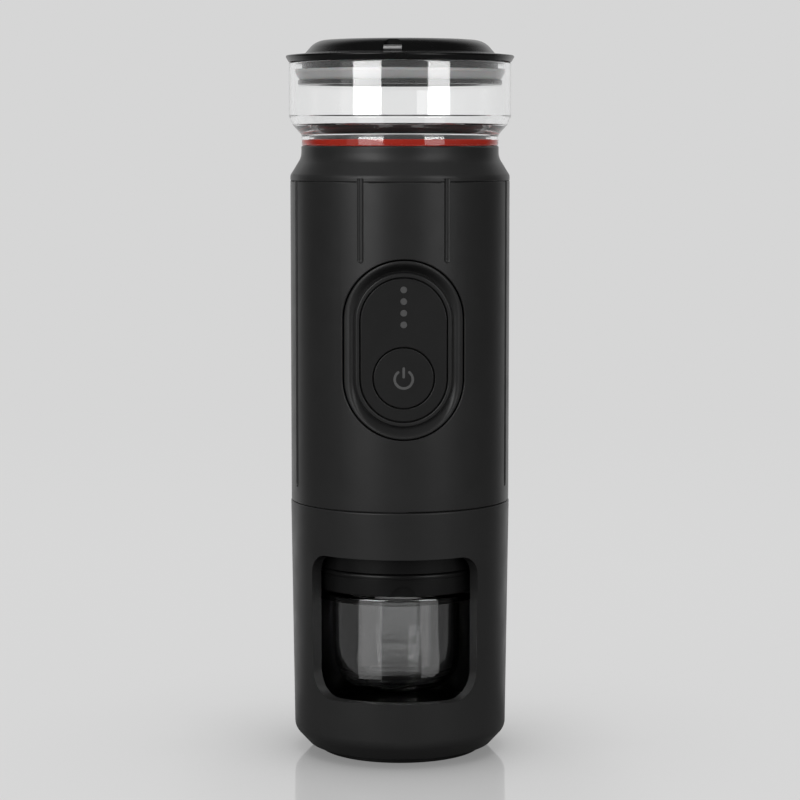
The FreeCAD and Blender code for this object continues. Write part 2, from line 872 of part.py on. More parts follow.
def basket_holder():
    """The bayonet holder: grooved band with a half-round thumb mark, stem and three lugs."""
    body = new_body("basket_holder", up="holder_level")
    corners = [
        ("spout_hole", "0"),
        ("holder_radius", "0", "edge_round"),
        ("holder_radius", "holder_band", "holder_round"),
        ("holder_stem_radius", "holder_band"),
        ("holder_stem_radius", "holder_stem"),
        ("holder_bore", "holder_stem"),
        ("holder_bore", "holder_floor"),
        ("spout_hole", "holder_floor"),
    ]
    profile = new_sketch(body, "XZ_Plane")
    outline(profile, corners)
    revolve(body, profile)
    lug = new_sketch(body, "XZ_Plane")
    lug_base = "head_level + head_ledge + (head_lug_space - lug_height) / 2 - holder_level"
    lug_top = f"{lug_base} + lug_height"
    rectangle(lug, "holder_stem_radius - edge_round", "head_lug_bore - free_gap", lug_base, lug_top)
    polar(body, [revolve(body, lug, sweep="lug_sweep")], "lug_count")
    line = new_sketch(body, "XZ_Plane")
    line_top = "holder_line_level + holder_line_width"
    bed = "holder_radius - holder_line_depth"
    rectangle(line, bed, "holder_radius + edge_round", "holder_line_level", line_top)
    groove(body, line)
    thumb = new_sketch(body, "XZ_Plane", offset="holder_radius - thumb_depth")
    circle(thumb, "thumb_radius", "0", "-(thumb_drop)")
    pocket(body, thumb, "holder_round + thumb_depth", along=True)


def spout():
    """The outlet under the basket: a tube with a lip that rests on the holder's floor."""
    lip_top = "spout_reach + holder_floor + spout_lip_height"
    floor_top = "spout_reach + holder_floor"
    tube = "spout_hole - snug_fit"
    lip = "spout_hole + spout_lip"
    corners = [
        ("spout_bore", "0"),
        (tube, "0", "edge_round"),
        (tube, floor_top),
        (lip, floor_top),
        (lip, lip_top),
        ("spout_bore", lip_top),
    ]
    turned("spout", corners, up="holder_level - spout_reach")


def filter_basket():
    """A thin steel cup with a pierced floor, hung by its rim on the holder's stem."""
    body = new_body("filter_basket", up="holder_level + holder_stem")
    outer = "holder_bore - free_gap"
    inner = f"{outer} - basket_wall"
    floor_top = "basket_wall - basket_depth"
    corners = [
        ("0", "-(basket_depth)"),
        (outer, "-(basket_depth)", "edge_round * 3"),
        (outer, "0"),
        ("basket_rim_radius", "0"),
        ("basket_rim_radius", "basket_rim_height", "edge_round / 2"),
        (inner, "basket_rim_height", "edge_round / 2"),
        (inner, floor_top, "edge_round * 2"),
        ("0", floor_top),
    ]
    profile = new_sketch(body, "XZ_Plane")
    outline(profile, corners)
    revolve(body, profile)
    for ring in range(1, SIZES["basket_hole_rings"] + 1):
        holes = new_sketch(body, "XY_Plane", offset=floor_top)
        across = f"holder_bore * {ring} / (basket_hole_rings + 2)"
        circle(holes, "basket_hole_radius", across, "0")
        polar(body, [pocket(body, holes, "basket_wall")], "basket_holes")


def brew_gasket():
    outer = "head_bore - snug_fit"
    corners = [("gasket_inner", "0"), (outer, "0"), (outer, "gasket_tall"), ("gasket_inner", "gasket_tall")]
    turned("brew_gasket", corners, up="head_level + head_seat - gasket_tall")


def shower_screen():
    """A pierced disc over the basket."""
    body = new_body("shower_screen", up="head_level + head_seat")
    disc = new_sketch(body, "XY_Plane")
    circle(disc, "head_screen_bore - snug_fit")
    thickness = "head_screen_seat - head_seat"
    pad(body, disc, thickness)
    for ring in (1, 2):
        holes = new_sketch(body, "XY_Plane", offset=thickness)
        circle(holes, "screen_hole_radius", f"gasket_inner * {ring} / 3", "0")
        polar(body, [pocket(body, holes, thickness)], "screen_holes")


# ---------------------------------------------------------------- boiler, pump and hoses


def boiler():
    nipple = "-(boiler_nipple_length)"
    corners = [
        ("0", nipple),
        ("boiler_nipple_radius", nipple),
        ("boiler_nipple_radius", "0"),
        ("boiler_radius", "0", "edge_round * 2"),
        ("boiler_radius", "boiler_height", "edge_round * 3"),
        ("0", "boiler_height"),
    ]
    turned("boiler", corners, up="boiler_base")


def heater_band():
    body = new_body("heater_band", up="boiler_base + (boiler_height - band_height) / 2")
    profile = new_sketch(body, "XZ_Plane")
    inner = "boiler_radius + snug_fit"
    rectangle(profile, inner, f"{inner} + band_thickness", "0", "band_height")
    revolve(body, profile, sweep="band_sweep")


def check_valve():
    """Stands on the boiler, and its nipple takes the pressure hose."""
    high = "valve_height + nipple_length"
    corners = [
        ("0", "0"),
        ("valve_radius", "0", "edge_round"),
        ("valve_radius", "valve_height", "edge_round * 2"),
        ("nipple_radius", "valve_height"),
        ("nipple_radius", high),
        ("0", high),
    ]
    turned("check_valve", corners, up="boiler_top", across="valve_x", back="motor_offset")


def pressure_hose():
    """Runs up from the check valve and bends once into the pump's side outlet."""
    body = new_body("pressure_hose", across="valve_x", back="motor_offset")
    low = "boiler_top + valve_height"
    high = "pump_base + outlet_level"
    reach = "-(outlet_reach - 2 * rest_gap)"
    path = new_sketch(body, "XZ_Plane")
    start = Vector(0, size(low), 0)
    corner = Vector(0, size(high), 0)
    finish = Vector(size(reach), size(high), 0)
    bend, arrive, leave = corner_arc(start, corner, finish, size("hose_bend"))
    rise = path.addGeometry(Part.LineSegment(start, arrive), False)
    run = path.addGeometry(Part.LineSegment(leave, finish), False)
    rules = Rules(path)
    join_arc(rules, bend, rise, run, corner, ("0", high, "hose_bend"))
    rules.hold(rise, 1, "0", low)
    rules.hold(run, 2, reach, high)
    rules.close()
    section = new_sketch(body, "XY_Plane", offset=low)
    circle(section, "hose_radius")
    circle(section, "hose_bore")
    pipe = body.newObject("PartDesign::AdditivePipe", "Swept")
    pipe.Profile = section
    pipe.Spine = (path, [])


def pump_head():
    """The sealed pump on the motor: a cavity for the eccentric, a side outlet and a top inlet."""
    body = new_body("pump_head", up="pump_base", back="motor_offset")
    corners = [
        ("0", "pump_cavity_height"),
        ("pump_cavity_radius", "pump_cavity_height"),
        ("pump_cavity_radius", "0"),
        ("pump_radius", "0"),
        ("pump_radius", "pump_height", "edge_round * 2"),
        ("0", "pump_height"),
    ]
    profile = new_sketch(body, "XZ_Plane")
    outline(profile, corners)
    revolve(body, profile)
    outlet = new_sketch(body, "YZ_Plane", offset="pump_radius - edge_round * 2")
    circle(outlet, "nipple_radius", "0", "outlet_level")
    pad(body, outlet, "nipple_length")
    inlet = new_sketch(body, "XY_Plane", offset="pump_height")
    circle(inlet, "inlet_nipple_radius", "0", "-(motor_offset)")
    pad(body, inlet, "inlet_nipple_length")


def motor_can():
    top = "motor_height"
    inner = "motor_radius - motor_wall"
    corners = [
        ("bush_radius", "0"),
        ("motor_radius", "0", "edge_round"),
        ("motor_radius", top, "edge_round"),
        ("bush_radius", top),
        ("bush_radius", "motor_height - motor_cap"),
        (inner, "motor_height - motor_cap"),
        (inner, "motor_cap"),
        ("bush_radius", "motor_cap"),
    ]
    turned("motor_can", corners, up="deck_top", back="motor_offset")


def motor_bushes():
    body = new_body("motor_bushes", up="deck_top", back="motor_offset")
    for level in ("0", "motor_height - motor_cap"):
        sketch = new_sketch(body, "XY_Plane", offset=level)
        circle(sketch, "bush_radius - snug_fit")
        circle(sketch, "shaft_radius + running_fit")
        pad(body, sketch, "motor_cap")


def motor_rotor():
    """Slotted armature on its shaft, with the eccentric that drives the pump."""
    body = new_body("motor_rotor", up="deck_top", back="motor_offset")
    armature = "motor_radius - motor_wall - rotor_gap"
    armature_low = "motor_cap + rotor_end"
    armature_high = "motor_height - motor_cap - rotor_end"
    shaft_top = "motor_height + shaft_reach"
    corners = [
        ("0", "free_gap"),
        ("shaft_radius", "free_gap"),
        ("shaft_radius", armature_low),
        (armature, armature_low),
        (armature, armature_high),
        ("shaft_radius", armature_high),
        ("shaft_radius", shaft_top),
        ("0", shaft_top),
    ]
    profile = new_sketch(body, "XZ_Plane")
    outline(profile, corners)
    revolve(body, profile)
    slot = new_sketch(body, "XY_Plane", offset=armature_high)
    half = "rotor_slot / 2"
    rectangle(slot, f"{armature} - rotor_slot_depth", f"{armature} + rotor_gap", f"-({half})", half)
    cut = pocket(body, slot, f"{armature_high} - ({armature_low})")
    polar(body, [cut], "5")
    disc = new_sketch(body, "XY_Plane", offset=f"{shaft_top} - eccentric_height")
    circle(disc, "eccentric_radius", "eccentric_throw", "0")
    pad(body, disc, "eccentric_height")


def inlet_hose():
    """The straight hose from the collar's inlet down to the pump's top inlet."""
    bore = "inlet_nipple_radius + snug_fit"
    top = "sleeve_top + collar_floor - collar_floor_thickness - inlet_tube_length - pump_top"
    corners = [(bore, "0"), ("inlet_hose_radius", "0"), ("inlet_hose_radius", top), (bore, top)]
    turned("inlet_hose", corners, up="pump_top")


def water_inlet():
    """The fitting in the collar's floor, with a nipple that takes the inlet hose."""
    tube = "inlet_hole - snug_fit"
    shoulder = "-(collar_floor_thickness + inlet_tube_length)"
    tip = "-(collar_floor_thickness + inlet_tube_length + inlet_nipple_length)"
    corners = [
        ("inlet_bore", tip),
        ("inlet_nipple_radius", tip),
        ("inlet_nipple_radius", shoulder),
        (tube, shoulder),
        (tube, "0"),
        ("inlet_flange_radius", "0"),
        ("inlet_flange_radius", "inlet_flange_height"),
        ("inlet_bore", "inlet_flange_height"),
    ]
    turned("water_inlet", corners, up="sleeve_top + collar_floor")


def inlet_strainer():
    """A slotted cap over the inlet."""
    body = new_body("inlet_strainer", up="sleeve_top + collar_floor")
    inner = "strainer_radius - strainer_wall"
    roof = "strainer_height - strainer_wall"
    corners = [
        ("0", roof),
        (inner, roof),
        (inner, "0"),
        ("strainer_radius", "0"),
        ("strainer_radius", "strainer_height", "edge_round"),
        ("0", "strainer_height"),
    ]
    profile = new_sketch(body, "XZ_Plane")
    outline(profile, corners)
    revolve(body, profile)
    slot = new_sketch(body, "XY_Plane", offset="strainer_height")
    half = "strainer_slot / 2"
    rectangle(slot, "strainer_radius / 3", "strainer_radius * 3 / 4", f"-({half})", half)
    polar(body, [pocket(body, slot, "strainer_wall")], "strainer_slots")


# ---------------------------------------------------------------- frame, batteries and boards


def inner_frame():
    """Two decks on posts, a front carrier for panel and board, and four legs to the base ring."""
    body = new_body("inner_frame", up="deck_level")
    deck_radius = "sleeve_bore - free_gap"
    lower = new_sketch(body, "XY_Plane")
    circle(lower, deck_radius)
    circle(lower, "valve_radius + free_gap", "valve_x", "motor_offset")
    pad(body, lower, "deck_thickness")
    legs = new_sketch(body, "XY_Plane")
    for across, back in leg_places():
        circle(legs, "leg_radius", across, back)
        circle(legs, "screw_radius + snug_fit", across, back)
    pad(body, legs, "deck_level - flange_top", backwards=True)
    posts = new_sketch(body, "XY_Plane", offset="deck_thickness")
    for across, back in ring_places("post_ring", (65, 115, 200, 340)):
        circle(posts, "post_radius", across, back)
    pad(body, posts, "frame_span")
    carrier = new_sketch(body, "XY_Plane", offset="deck_thickness")
    face = "-(bezel_back)"
    rectangle(carrier, "-(carrier_half)", "carrier_half", face, f"{face} + carrier_thickness")
    pad(body, carrier, "frame_span")
    upper = new_sketch(body, "XY_Plane", offset="deck_thickness + frame_span")
    circle(upper, deck_radius)
    circle(upper, "inlet_hose_radius + free_gap")
    for across, back in boss_places():
        circle(upper, "screw_radius + snug_fit", across, back)
    pad(body, upper, "deck_thickness")
    windows = new_sketch(body, "XZ_Plane", offset="bezel_back")
    half = "switch_width / 2 + free_gap"
    level = "button_level - deck_level"
    rectangle(windows, f"-({half})", half, f"{level} - ({half})", f"{level} + {half}")
    for index in range(SIZES["light_count"]):
        up = f"light_top - {index} * light_pitch - deck_level"
        circle(windows, "light_radius + snug_fit", "0", up)
    pocket(body, windows, "carrier_thickness")
    bezel_room = new_sketch(body, "XY_Plane", offset="deck_thickness")
    half = "bezel_half + bezel_gap"
    rectangle(bezel_room, f"-({half})", half, "-(body_radius)", face)
    pocket(body, bezel_room, "deck_thickness")


def control_board():
    body = new_body("control_board", up="deck_top")
    sketch = new_sketch(body, "XY_Plane", offset="board_margin")
    front = "-(board_face)"
    rectangle(sketch, "-(board_half)", "board_half", front, f"{front} + board_thickness")
    pad(body, sketch, "frame_span - 2 * board_margin")


def tact_switch():
    """The switch on the board behind the button, bored for its plunger."""
    body = new_body("tact_switch", up="button_level")
    half = "switch_width / 2"
    housing = new_sketch(body, "XZ_Plane", offset="board_face")
    rectangle(housing, f"-({half})", half, f"-({half})", half)
    pad(body, housing, "switch_height")
    bore = new_sketch(body, "XZ_Plane", offset="board_face + switch_height")
    circle(bore, "plunger_radius + snug_fit * 2")
    pocket(body, bore, "switch_height - free_gap")


def switch_plunger():
    body = new_body("switch_plunger", up="button_level")
    sketch = new_sketch(body, "XZ_Plane", offset="button_back")
    circle(sketch, "plunger_radius")
    pad(body, sketch, "plunger_length", backwards=True)


def power_button():
    """A round button held behind the faceplate by its lip."""
    body = new_body("power_button", up="button_level")
    lip = new_sketch(body, "XZ_Plane", offset="button_back")
    circle(lip, "button_radius + button_lip")
    pad(body, lip, "button_lip_height")
    cap = new_sketch(body, "XZ_Plane", offset="button_back + button_lip_height")
    circle(cap, "button_radius")
    pad(body, cap, "face_thickness + free_gap")
    front = -size("face_front")

    def front_rim(edge):
        return isinstance(edge.Curve, Part.Circle) and near(edge.Curve.Center.y, front)

    round_edges(body, "edge_round / 2", front_rim)


def battery_lights():
    """Light pipes from the board to the faceplate."""
    body = new_body("battery_lights", up="light_top")
    sketch = new_sketch(body, "XZ_Plane", offset="board_face")
    for index in range(SIZES["light_count"]):
        circle(sketch, "light_radius", "0", f"-({index} * light_pitch)")
    pad(body, sketch, "face_front - board_face")


def panel_face():
    """The flat faceplate with its button hole and light holes."""
    body = new_body("panel_face", up="bezel_centre")
    sketch = new_sketch(body, "XZ_Plane", offset="face_front - face_thickness")
    stadium(sketch, "face_half", "face_height", "-(face_drop)")
    circle(sketch, "button_radius + face_gap", "0", "button_level - bezel_centre")
    for index in range(SIZES["light_count"]):
        up = f"light_top - {index} * light_pitch - bezel_centre"
        circle(sketch, "light_radius + light_fit", "0", up)
    pad(body, sketch, "face_thickness")
    front = -size("face_front")
    light_rim = 2 * math.pi * size("light_radius + light_fit")

    def front_outline(edge):
        return all(near(vertex.Point.y, front) for vertex in edge.Vertexes) and edge.Length > light_rim + TOLERANCE

    round_edges(body, "edge_round / 2", front_outline)


def panel_bezel():
    """The dished surround: follows the sleeve outside, sinks to a valley and rises to a flat ridge."""
    body = new_body("panel_bezel", up="bezel_centre")
    blank = new_sketch(body, "XZ_Plane", offset="bezel_back")
    stadium(blank, "bezel_half", "bezel_height", "0")
    pad(body, blank, "body_radius - bezel_back + edge_round")
    skin = new_sketch(body, "XZ_Plane")
    beyond = "body_radius + bezel_half"
    half = "bezel_height / 2 + edge_round"
    rectangle(skin, "body_radius", beyond, f"-({half})", half)
    groove(body, skin)
    round_edges(body, "rim_round", on_skin)
    floor = new_sketch(body, "XZ_Plane", offset="dish_floor")
    stadium(floor, "dish_half", "dish_height", "-(dish_drop)")
    flare = "atan((bezel_half - dish_lip - dish_half) / (body_radius - dish_floor))"
    bind(pocket(body, floor, "body_radius - dish_floor", along=True), "TaperAngle", flare)
    ridge = new_sketch(body, "XZ_Plane", offset="dish_floor - edge_round")
    ridge_height = "(face_height + 2 * (ridge_half - face_half))"
    stadium(ridge, "ridge_half", ridge_height, "-(face_drop)")
    pad(body, ridge, "ridge_crest - dish_floor + edge_round")
    crest = -size("ridge_crest")

    def crest_rim(edge):
        return all(near(vertex.Point.y, crest) for vertex in edge.Vertexes)

    round_edges(body, "edge_round", crest_rim)
    seat = new_sketch(body, "XZ_Plane", offset="ridge_crest")
    stadium(seat, "(face_half + face_gap)", "(face_height + 2 * face_gap)", "-(face_drop)")
    pocket(body, seat, "ridge_crest - face_front + face_thickness")
    through = new_sketch(body, "XZ_Plane", offset="ridge_crest")
    stadium(through, "(face_half - face_ledge)", "(face_height - 2 * face_ledge)", "-(face_drop)")
    pocket(body, through, "ridge_crest - bezel_back")


def battery_cells():
    body = new_body("battery_cells", up="deck_top")
    start = "90 - cell_step"
    across = f"cell_ring * cos({start})"
    back = f"cell_ring * sin({start})"
    can = new_sketch(body, "XY_Plane")
    circle(can, "cell_radius", across, back)
    cell = pad(body, can, "cell_height")
    nub_sketch = new_sketch(body, "XY_Plane", offset="cell_height")
    circle(nub_sketch, "cell_nub_radius", across, back)
    nub = pad(body, nub_sketch, "cell_nub_height")
    polar(body, [cell, nub], "3", sweep="2 * cell_step")


def chassis_screws():
    """Screws up through the base ring into the legs, and through the upper deck into the bosses."""
    body = new_body("chassis_screws")
    lower_head = "flange_base"
    upper_head = "upper_deck - screw_head_height"
    for places, head_base in ((leg_places(), lower_head), (boss_places(), upper_head)):
        heads = new_sketch(body, "XY_Plane", offset=head_base)
        shanks = new_sketch(body, "XY_Plane", offset=f"{head_base} + screw_head_height")
        for across, back in places:
            circle(heads, "screw_head_radius", across, back)
            circle(shanks, "screw_radius", across, back)
        pad(body, heads, "screw_head_height")
        pad(body, shanks, "screw_length")


# ---------------------------------------------------------------- sleeve, collar, tank and lid


def cut_flute(body, angle, low, high):
    """A round-bottomed flute down the skin, with a ball end at the bottom."""
    sketch = new_sketch(body, "XZ_Plane", swing=angle)
    centre = "body_radius + flute_radius - flute_depth"
    radius = size("flute_radius")
    axis_x = size(centre)
    top = size(high)
    bottom = size(f"{low} + flute_radius")
    foot = Vector(axis_x, bottom - radius, 0)
    hub = Vector(axis_x, bottom, 0)
    head = Vector(axis_x, top, 0)
    skin = Vector(axis_x - radius, top, 0)
    end = Vector(axis_x - radius, bottom, 0)
    ball_circle = Part.Circle(hub, Vector(0, 0, 1), radius)
    ball = sketch.addGeometry(Part.ArcOfCircle(ball_circle, math.pi, 1.5 * math.pi), False)
    axis = sketch.addGeometry(Part.LineSegment(foot, head), False)
    cap = sketch.addGeometry(Part.LineSegment(head, skin), False)
    bed = sketch.addGeometry(Part.LineSegment(skin, end), False)
    line = sketch.addGeometry(Part.LineSegment(hub, head), True)
    rules = Rules(sketch)
    rules.add("Coincident", ball, 2, axis, 1)
    rules.add("Coincident", axis, 2, cap, 1)
    rules.add("Coincident", cap, 2, bed, 1)
    rules.add("Tangent", bed, 2, ball, 1)
    rules.add("Vertical", axis)
    rules.add("Horizontal", cap)
    rules.hold(ball, 3, centre, f"{low} + flute_radius")
    rules.add("PointOnObject", ball, 3, axis)
    rules.radius(ball, "flute_radius")
    rules.add("DistanceY", -1, 1, axis, 2, top, formula=high)
    rules.add("Coincident", line, 1, ball, 3)
    rules.add("Coincident", line, 2, axis, 2)
    rules.close()
    groove(body, sketch, axis="Axis0")


def pairs(angle):
    """A flute each side of the front, and the same pair at the back."""
    return tuple(f"{middle} {sign} {angle}" for middle in ("-90", "90") for sign in "-+")


def body_sleeve():
    """The main sleeve: panel opening, flutes, and the recess and hole of the charging port."""
    body = new_body("body_sleeve", up="sleeve_base")
    corners = [
        ("sleeve_bore", "0"),
        ("body_radius", "0", "edge_round"),
        ("body_radius", "sleeve_height", "seam_round"),
        ("sleeve_bore", "sleeve_height"),
    ]
    profile = new_sketch(body, "XZ_Plane")
    outline(profile, corners)
    revolve(body, profile)
    boss = new_sketch(body, "XY_Plane", offset="port_level - recess_drop - port_boss_margin - sleeve_base")
    half = "recess_half + port_boss_margin"
    rectangle(boss, f"-({half})", half, "port_boss_front", "recess_floor")
    pad(body, boss, "recess_drop + recess_rise + 2 * port_boss_margin")
    opening = new_sketch(body, "XZ_Plane", offset="body_radius + edge_round")
    height = "(bezel_height + 2 * bezel_gap)"
    stadium(opening, "(bezel_half + bezel_gap)", height, "bezel_centre - sleeve_base")
    pocket(body, opening, "body_radius")
    round_edges(body, "rim_round", on_skin)
    recess = new_sketch(body, "XZ_Plane", offset="-(recess_floor)")
    level = "port_level - sleeve_base"
    rectangle(recess, "-(recess_half)", "recess_half", f"{level} - recess_drop", f"{level} + recess_rise")
    pocket(body, recess, "body_radius - recess_floor + edge_round")
    hole = new_sketch(body, "XZ_Plane", offset="-(port_boss_front)")
    wide = "port_half_width + free_gap"
    tall = "port_half_height + free_gap"
    rectangle(hole, f"-({wide})", wide, f"{level} - ({tall})", f"{level} + {tall}")
    pocket(body, hole, "recess_floor - port_boss_front + edge_round")
    for angle in pairs("side_flute_angle"):
        cut_flute(body, angle, "side_flute_end", "sleeve_height + edge_round")
    for angle in pairs("front_flute_angle"):
        cut_flute(body, angle, "sleeve_height - front_flute_length", "sleeve_height + edge_round")


def neck_collar():
    """The waisted collar: skirt in the sleeve, funnel floor, tank spigot and screw bosses."""
    body = new_body("neck_collar", up="sleeve_top")
    skirt_outer = "sleeve_bore - snug_fit"
    skirt_inner = "sleeve_bore - collar_skirt_wall"
    skirt_low = "-(collar_skirt)"
    under = "collar_floor - collar_floor_thickness"
    gasket_bed = "collar_spigot_radius - gasket_depth"
    gasket_low = "collar_height + free_gap"
    gasket_high = "collar_height + free_gap + gasket_height"
    spigot_top = "collar_height + collar_spigot_height"
    spigot_inner = "collar_spigot_radius - collar_spigot_wall"
    waist_inner = "collar_radius - collar_skirt_wall"
    corners = [
        (skirt_outer, "0"),
        ("body_radius", "0", "rim_round"),
        ("body_radius", "collar_shoulder", "edge_round * 4"),
        ("collar_radius", "collar_waist", "collar_waist_round"),
        ("collar_radius", "collar_height", "edge_round"),
        ("collar_spigot_radius", "collar_height"),
        ("collar_spigot_radius", gasket_low),
        (gasket_bed, gasket_low),
        (gasket_bed, gasket_high),
        ("collar_spigot_radius", gasket_high),
        ("collar_spigot_radius", spigot_top, "edge_round"),
        (spigot_inner, spigot_top),
        (spigot_inner, "collar_height"),
        ("strainer_radius + edge_round", "collar_floor"),
        ("inlet_hole", "collar_floor"),
        ("inlet_hole", under),
        (waist_inner, under),
        (skirt_inner, "collar_shoulder"),
        (skirt_inner, skirt_low),
        (skirt_outer, skirt_low),
    ]
    profile = new_sketch(body, "XZ_Plane")
    outline(profile, corners)
    revolve(body, profile)
    bosses = new_sketch(body, "XY_Plane", offset=under)
    for across, back in boss_places():
        circle(bosses, "boss_radius", across, back)
    bosses_length = f"sleeve_top + {under} - upper_deck - deck_thickness"
    pad(body, bosses, bosses_length, backwards=True)
    holes = new_sketch(body, "XY_Plane", offset="upper_deck + deck_thickness - sleeve_top")
    for across, back in boss_places():
        circle(holes, "screw_radius + snug_fit", across, back)
    pocket(body, holes, "screw_length", along=True)
    for angle in pairs("front_flute_angle"):
        cut_flute(body, angle, "-(flute_radius * 3)", "flute_runout")


def tank_gasket():
    """The red ring that seals the tank's neck, with a shallow groove round its face."""
    inner = "collar_spigot_radius - gasket_depth"
    outer = "neck_radius - neck_wall - snug_fit"
    bed = f"{outer} - gasket_groove"
    middle = "gasket_height / 2"
    corners = [
        (inner, "0"),
        (outer, "0", "edge_round / 2"),
        (outer, f"{middle} - gasket_groove"),
        (bed, middle),
        (outer, f"{middle} + gasket_groove"),
        (outer, "gasket_height", "edge_round / 2"),
        (inner, "gasket_height"),
    ]
    turned("tank_gasket", corners, up="collar_top + free_gap")


def water_tank():
    """The clear tank: open top, rounded shoulder with an inner step, and an open neck."""
    neck_bore = "neck_radius - neck_wall"
    corners = [
        (neck_bore, "0", "edge_round"),
        ("neck_radius", "0", "edge_round"),
        ("neck_radius", "neck_height", "edge_round * 4"),
        ("tank_radius - tank_wall / 2", "neck_height + tank_wall * 2", "edge_round * 4"),
        ("tank_radius", "tank_shoulder", "edge_round * 3"),
        ("tank_radius", "tank_height", "tank_wall / 3"),
        ("tank_bore", "tank_height", "tank_wall / 3"),
        ("tank_bore", "tank_step", "edge_round * 2"),
        (neck_bore, "tank_step - tank_wall", "edge_round * 2"),
    ]
    turned("water_tank", corners, up="tank_base")


def lid_cap():
    """The lid's moulding: crowned dome, flange over the tank's rim and a hollow plug."""
    body = new_body("lid_cap", up="tank_top", turn="lid_turn")
    core_low = "-(lid_upper_depth + lid_seal_height + lid_ring_height)"
    core_inner = "lid_core_radius - lid_wall"
    edge_level = "lid_crown - lid_crown_drop"
    corners = [
        ("0", "lid_crown"),
        ("lid_dome_edge", edge_level, "lid_shoulder_round"),
        ("lid_dome_foot", "lid_dome_base", "edge_round"),
        ("lid_tip_radius", "lid_flange_height", "edge_round"),
        ("tank_radius", "rest_gap", "edge_round"),
        ("lid_upper_radius", "rest_gap"),
        ("lid_upper_radius", "-(lid_upper_depth)"),
        ("lid_core_radius", "-(lid_upper_depth)"),
        ("lid_core_radius", core_low),
        (core_inner, core_low),
        (core_inner, "lid_dome_base", "edge_round * 4"),
        ("0", f"{edge_level} - lid_wall"),
    ]
    profile = new_sketch(body, "XZ_Plane")
    outline(profile, corners)
    revolve(body, profile)
    notch = new_sketch(body, "XZ_Plane", offset="vent_depth_radius")
    top = "vent_level + vent_rise + vent_radius"
    corners = [
        ("-(vent_radius)", "vent_level"),
        ("vent_radius", "vent_level"),
        ("vent_radius", top, "vent_radius - rest_gap"),
        ("-(vent_radius)", top, "vent_radius - rest_gap"),
    ]
    outline(notch, corners)
    pocket(body, notch, "lid_dome_foot - vent_depth_radius", along=True)


def lid_vent_lip():
    """The small bright lip on the sill of the lid's vent notch."""
    body = new_body("lid_vent_lip", up="tank_top + vent_level", turn="lid_turn")
    sketch = new_sketch(body, "XZ_Plane", offset="vent_depth_radius")
    half = "vent_radius - rest_gap"
    rectangle(sketch, f"-({half})", half, "0", "vent_lip_height")
    pad(body, sketch, "vent_lip_reach")
    front = -size("vent_depth_radius + vent_lip_reach")

    def long_front_edge(edge):
        start, end = [vertex.Point for vertex in edge.Vertexes]
        return near(start.y, front) and near(end.y, front) and near(start.z, end.z)

    round_edges(body, "vent_lip_height * 0.42", long_front_edge)


def lid_seal():
    """The soft ring round the plug, bevelled below, that wipes the tank's wall."""
    inner = "lid_core_radius + snug_fit"
    outer = "tank_bore - snug_fit"
    corners = [
        (inner, "0"),
        (f"{outer} - lid_seal_bevel", "0"),
        (outer, "lid_seal_height * 3 / 4", "edge_round"),
        (outer, "lid_seal_height", "edge_round / 2"),
        (inner, "lid_seal_height"),
    ]
    turned("lid_seal", corners, up="tank_top - lid_upper_depth - lid_seal_height")


def lid_plug_ring():
    inner = "lid_core_radius + snug_fit"
    corners = [
        (inner, "0"),
        ("lid_ring_radius", "0", "edge_round"),
        ("lid_ring_radius", "lid_ring_height"),
        (inner, "lid_ring_height"),
    ]
    turned("lid_plug_ring", corners, up="tank_top - lid_upper_depth - lid_seal_height - lid_ring_height")


# ---------------------------------------------------------------- charging port


def charge_board():
    body = new_body("charge_board", up="deck_level", back="charge_board_back")
    sketch = new_sketch(body, "XY_Plane")
    rectangle(sketch, "-(charge_board_half)", "charge_board_half", "0", "charge_board_thickness")
    pad(body, sketch, "charge_board_height", backwards=True)


def charge_port():
    """A flat socket with an open mouth."""
    body = new_body("charge_port", up="port_level", back="charge_board_back + charge_board_thickness")
    sketch = new_sketch(body, "XZ_Plane")
    rectangle(sketch, "-(port_half_width)", "port_half_width", "-(port_half_height)", "port_half_height")
    length = "port_reach - charge_board_back - charge_board_thickness"
    pad(body, sketch, length, backwards=True)
    mouth = new_sketch(body, "XZ_Plane", offset=f"-({length})")
    wide = "port_half_width - edge_round"
    tall = "port_half_height - edge_round"
    rectangle(mouth, f"-({wide})", wide, f"-({tall})", tall)
    pocket(body, mouth, f"{length} - edge_round * 2", along=True)


def port_cover():
    """The soft flap over the port. It swings on the bead along its top edge."""
    body = new_body("port_cover", up="port_level")
    back = "recess_floor + free_gap"
    front = f"{back} + cover_thickness"
    bead = "cover_thickness / 2"
    bead_up = "recess_rise - free_gap - cover_thickness / 2"
    half = "recess_half - free_gap"
    flap = new_sketch(body, "YZ_Plane", offset=f"-({half})")
    low = "free_gap - recess_drop"
    outline(flap, [(back, low), (front, low), (front, bead_up), (back, bead_up)])
    pad(body, flap, f"2 * ({half})")
    roll = new_sketch(body, "YZ_Plane", offset=f"-({half})")
    circle(roll, bead, f"{back} + {bead}", bead_up)
    pad(body, roll, f"2 * ({half})")
    skin = new_sketch(body, "XZ_Plane")
    limit = "body_radius - cover_inset"
    rectangle(skin, limit, "body_radius + recess_drop", "-(2 * recess_drop)", "2 * recess_rise")
    groove(body, skin)


# ---------------------------------------------------------------- build, test and write


def build_all():
    for make in (
        foot_ring, cup_shell, cup_pad, glass_cup, spigot_ring, base_ring, brew_head, basket_holder,
        spout, filter_basket, brew_gasket, shower_screen, boiler, heater_band, check_valve,
        pressure_hose, pump_head, motor_can, motor_bushes, motor_rotor, inlet_hose, water_inlet,
        inlet_strainer, inner_frame, control_board, tact_switch, switch_plunger, power_button,
        battery_lights, panel_face, panel_bezel, battery_cells, chassis_screws, body_sleeve,
        neck_collar, tank_gasket, water_tank, lid_cap, lid_vent_lip, lid_seal, lid_plug_ring,
        charge_board, charge_port, port_cover,
    ):
        make()
    DOC.recompute()


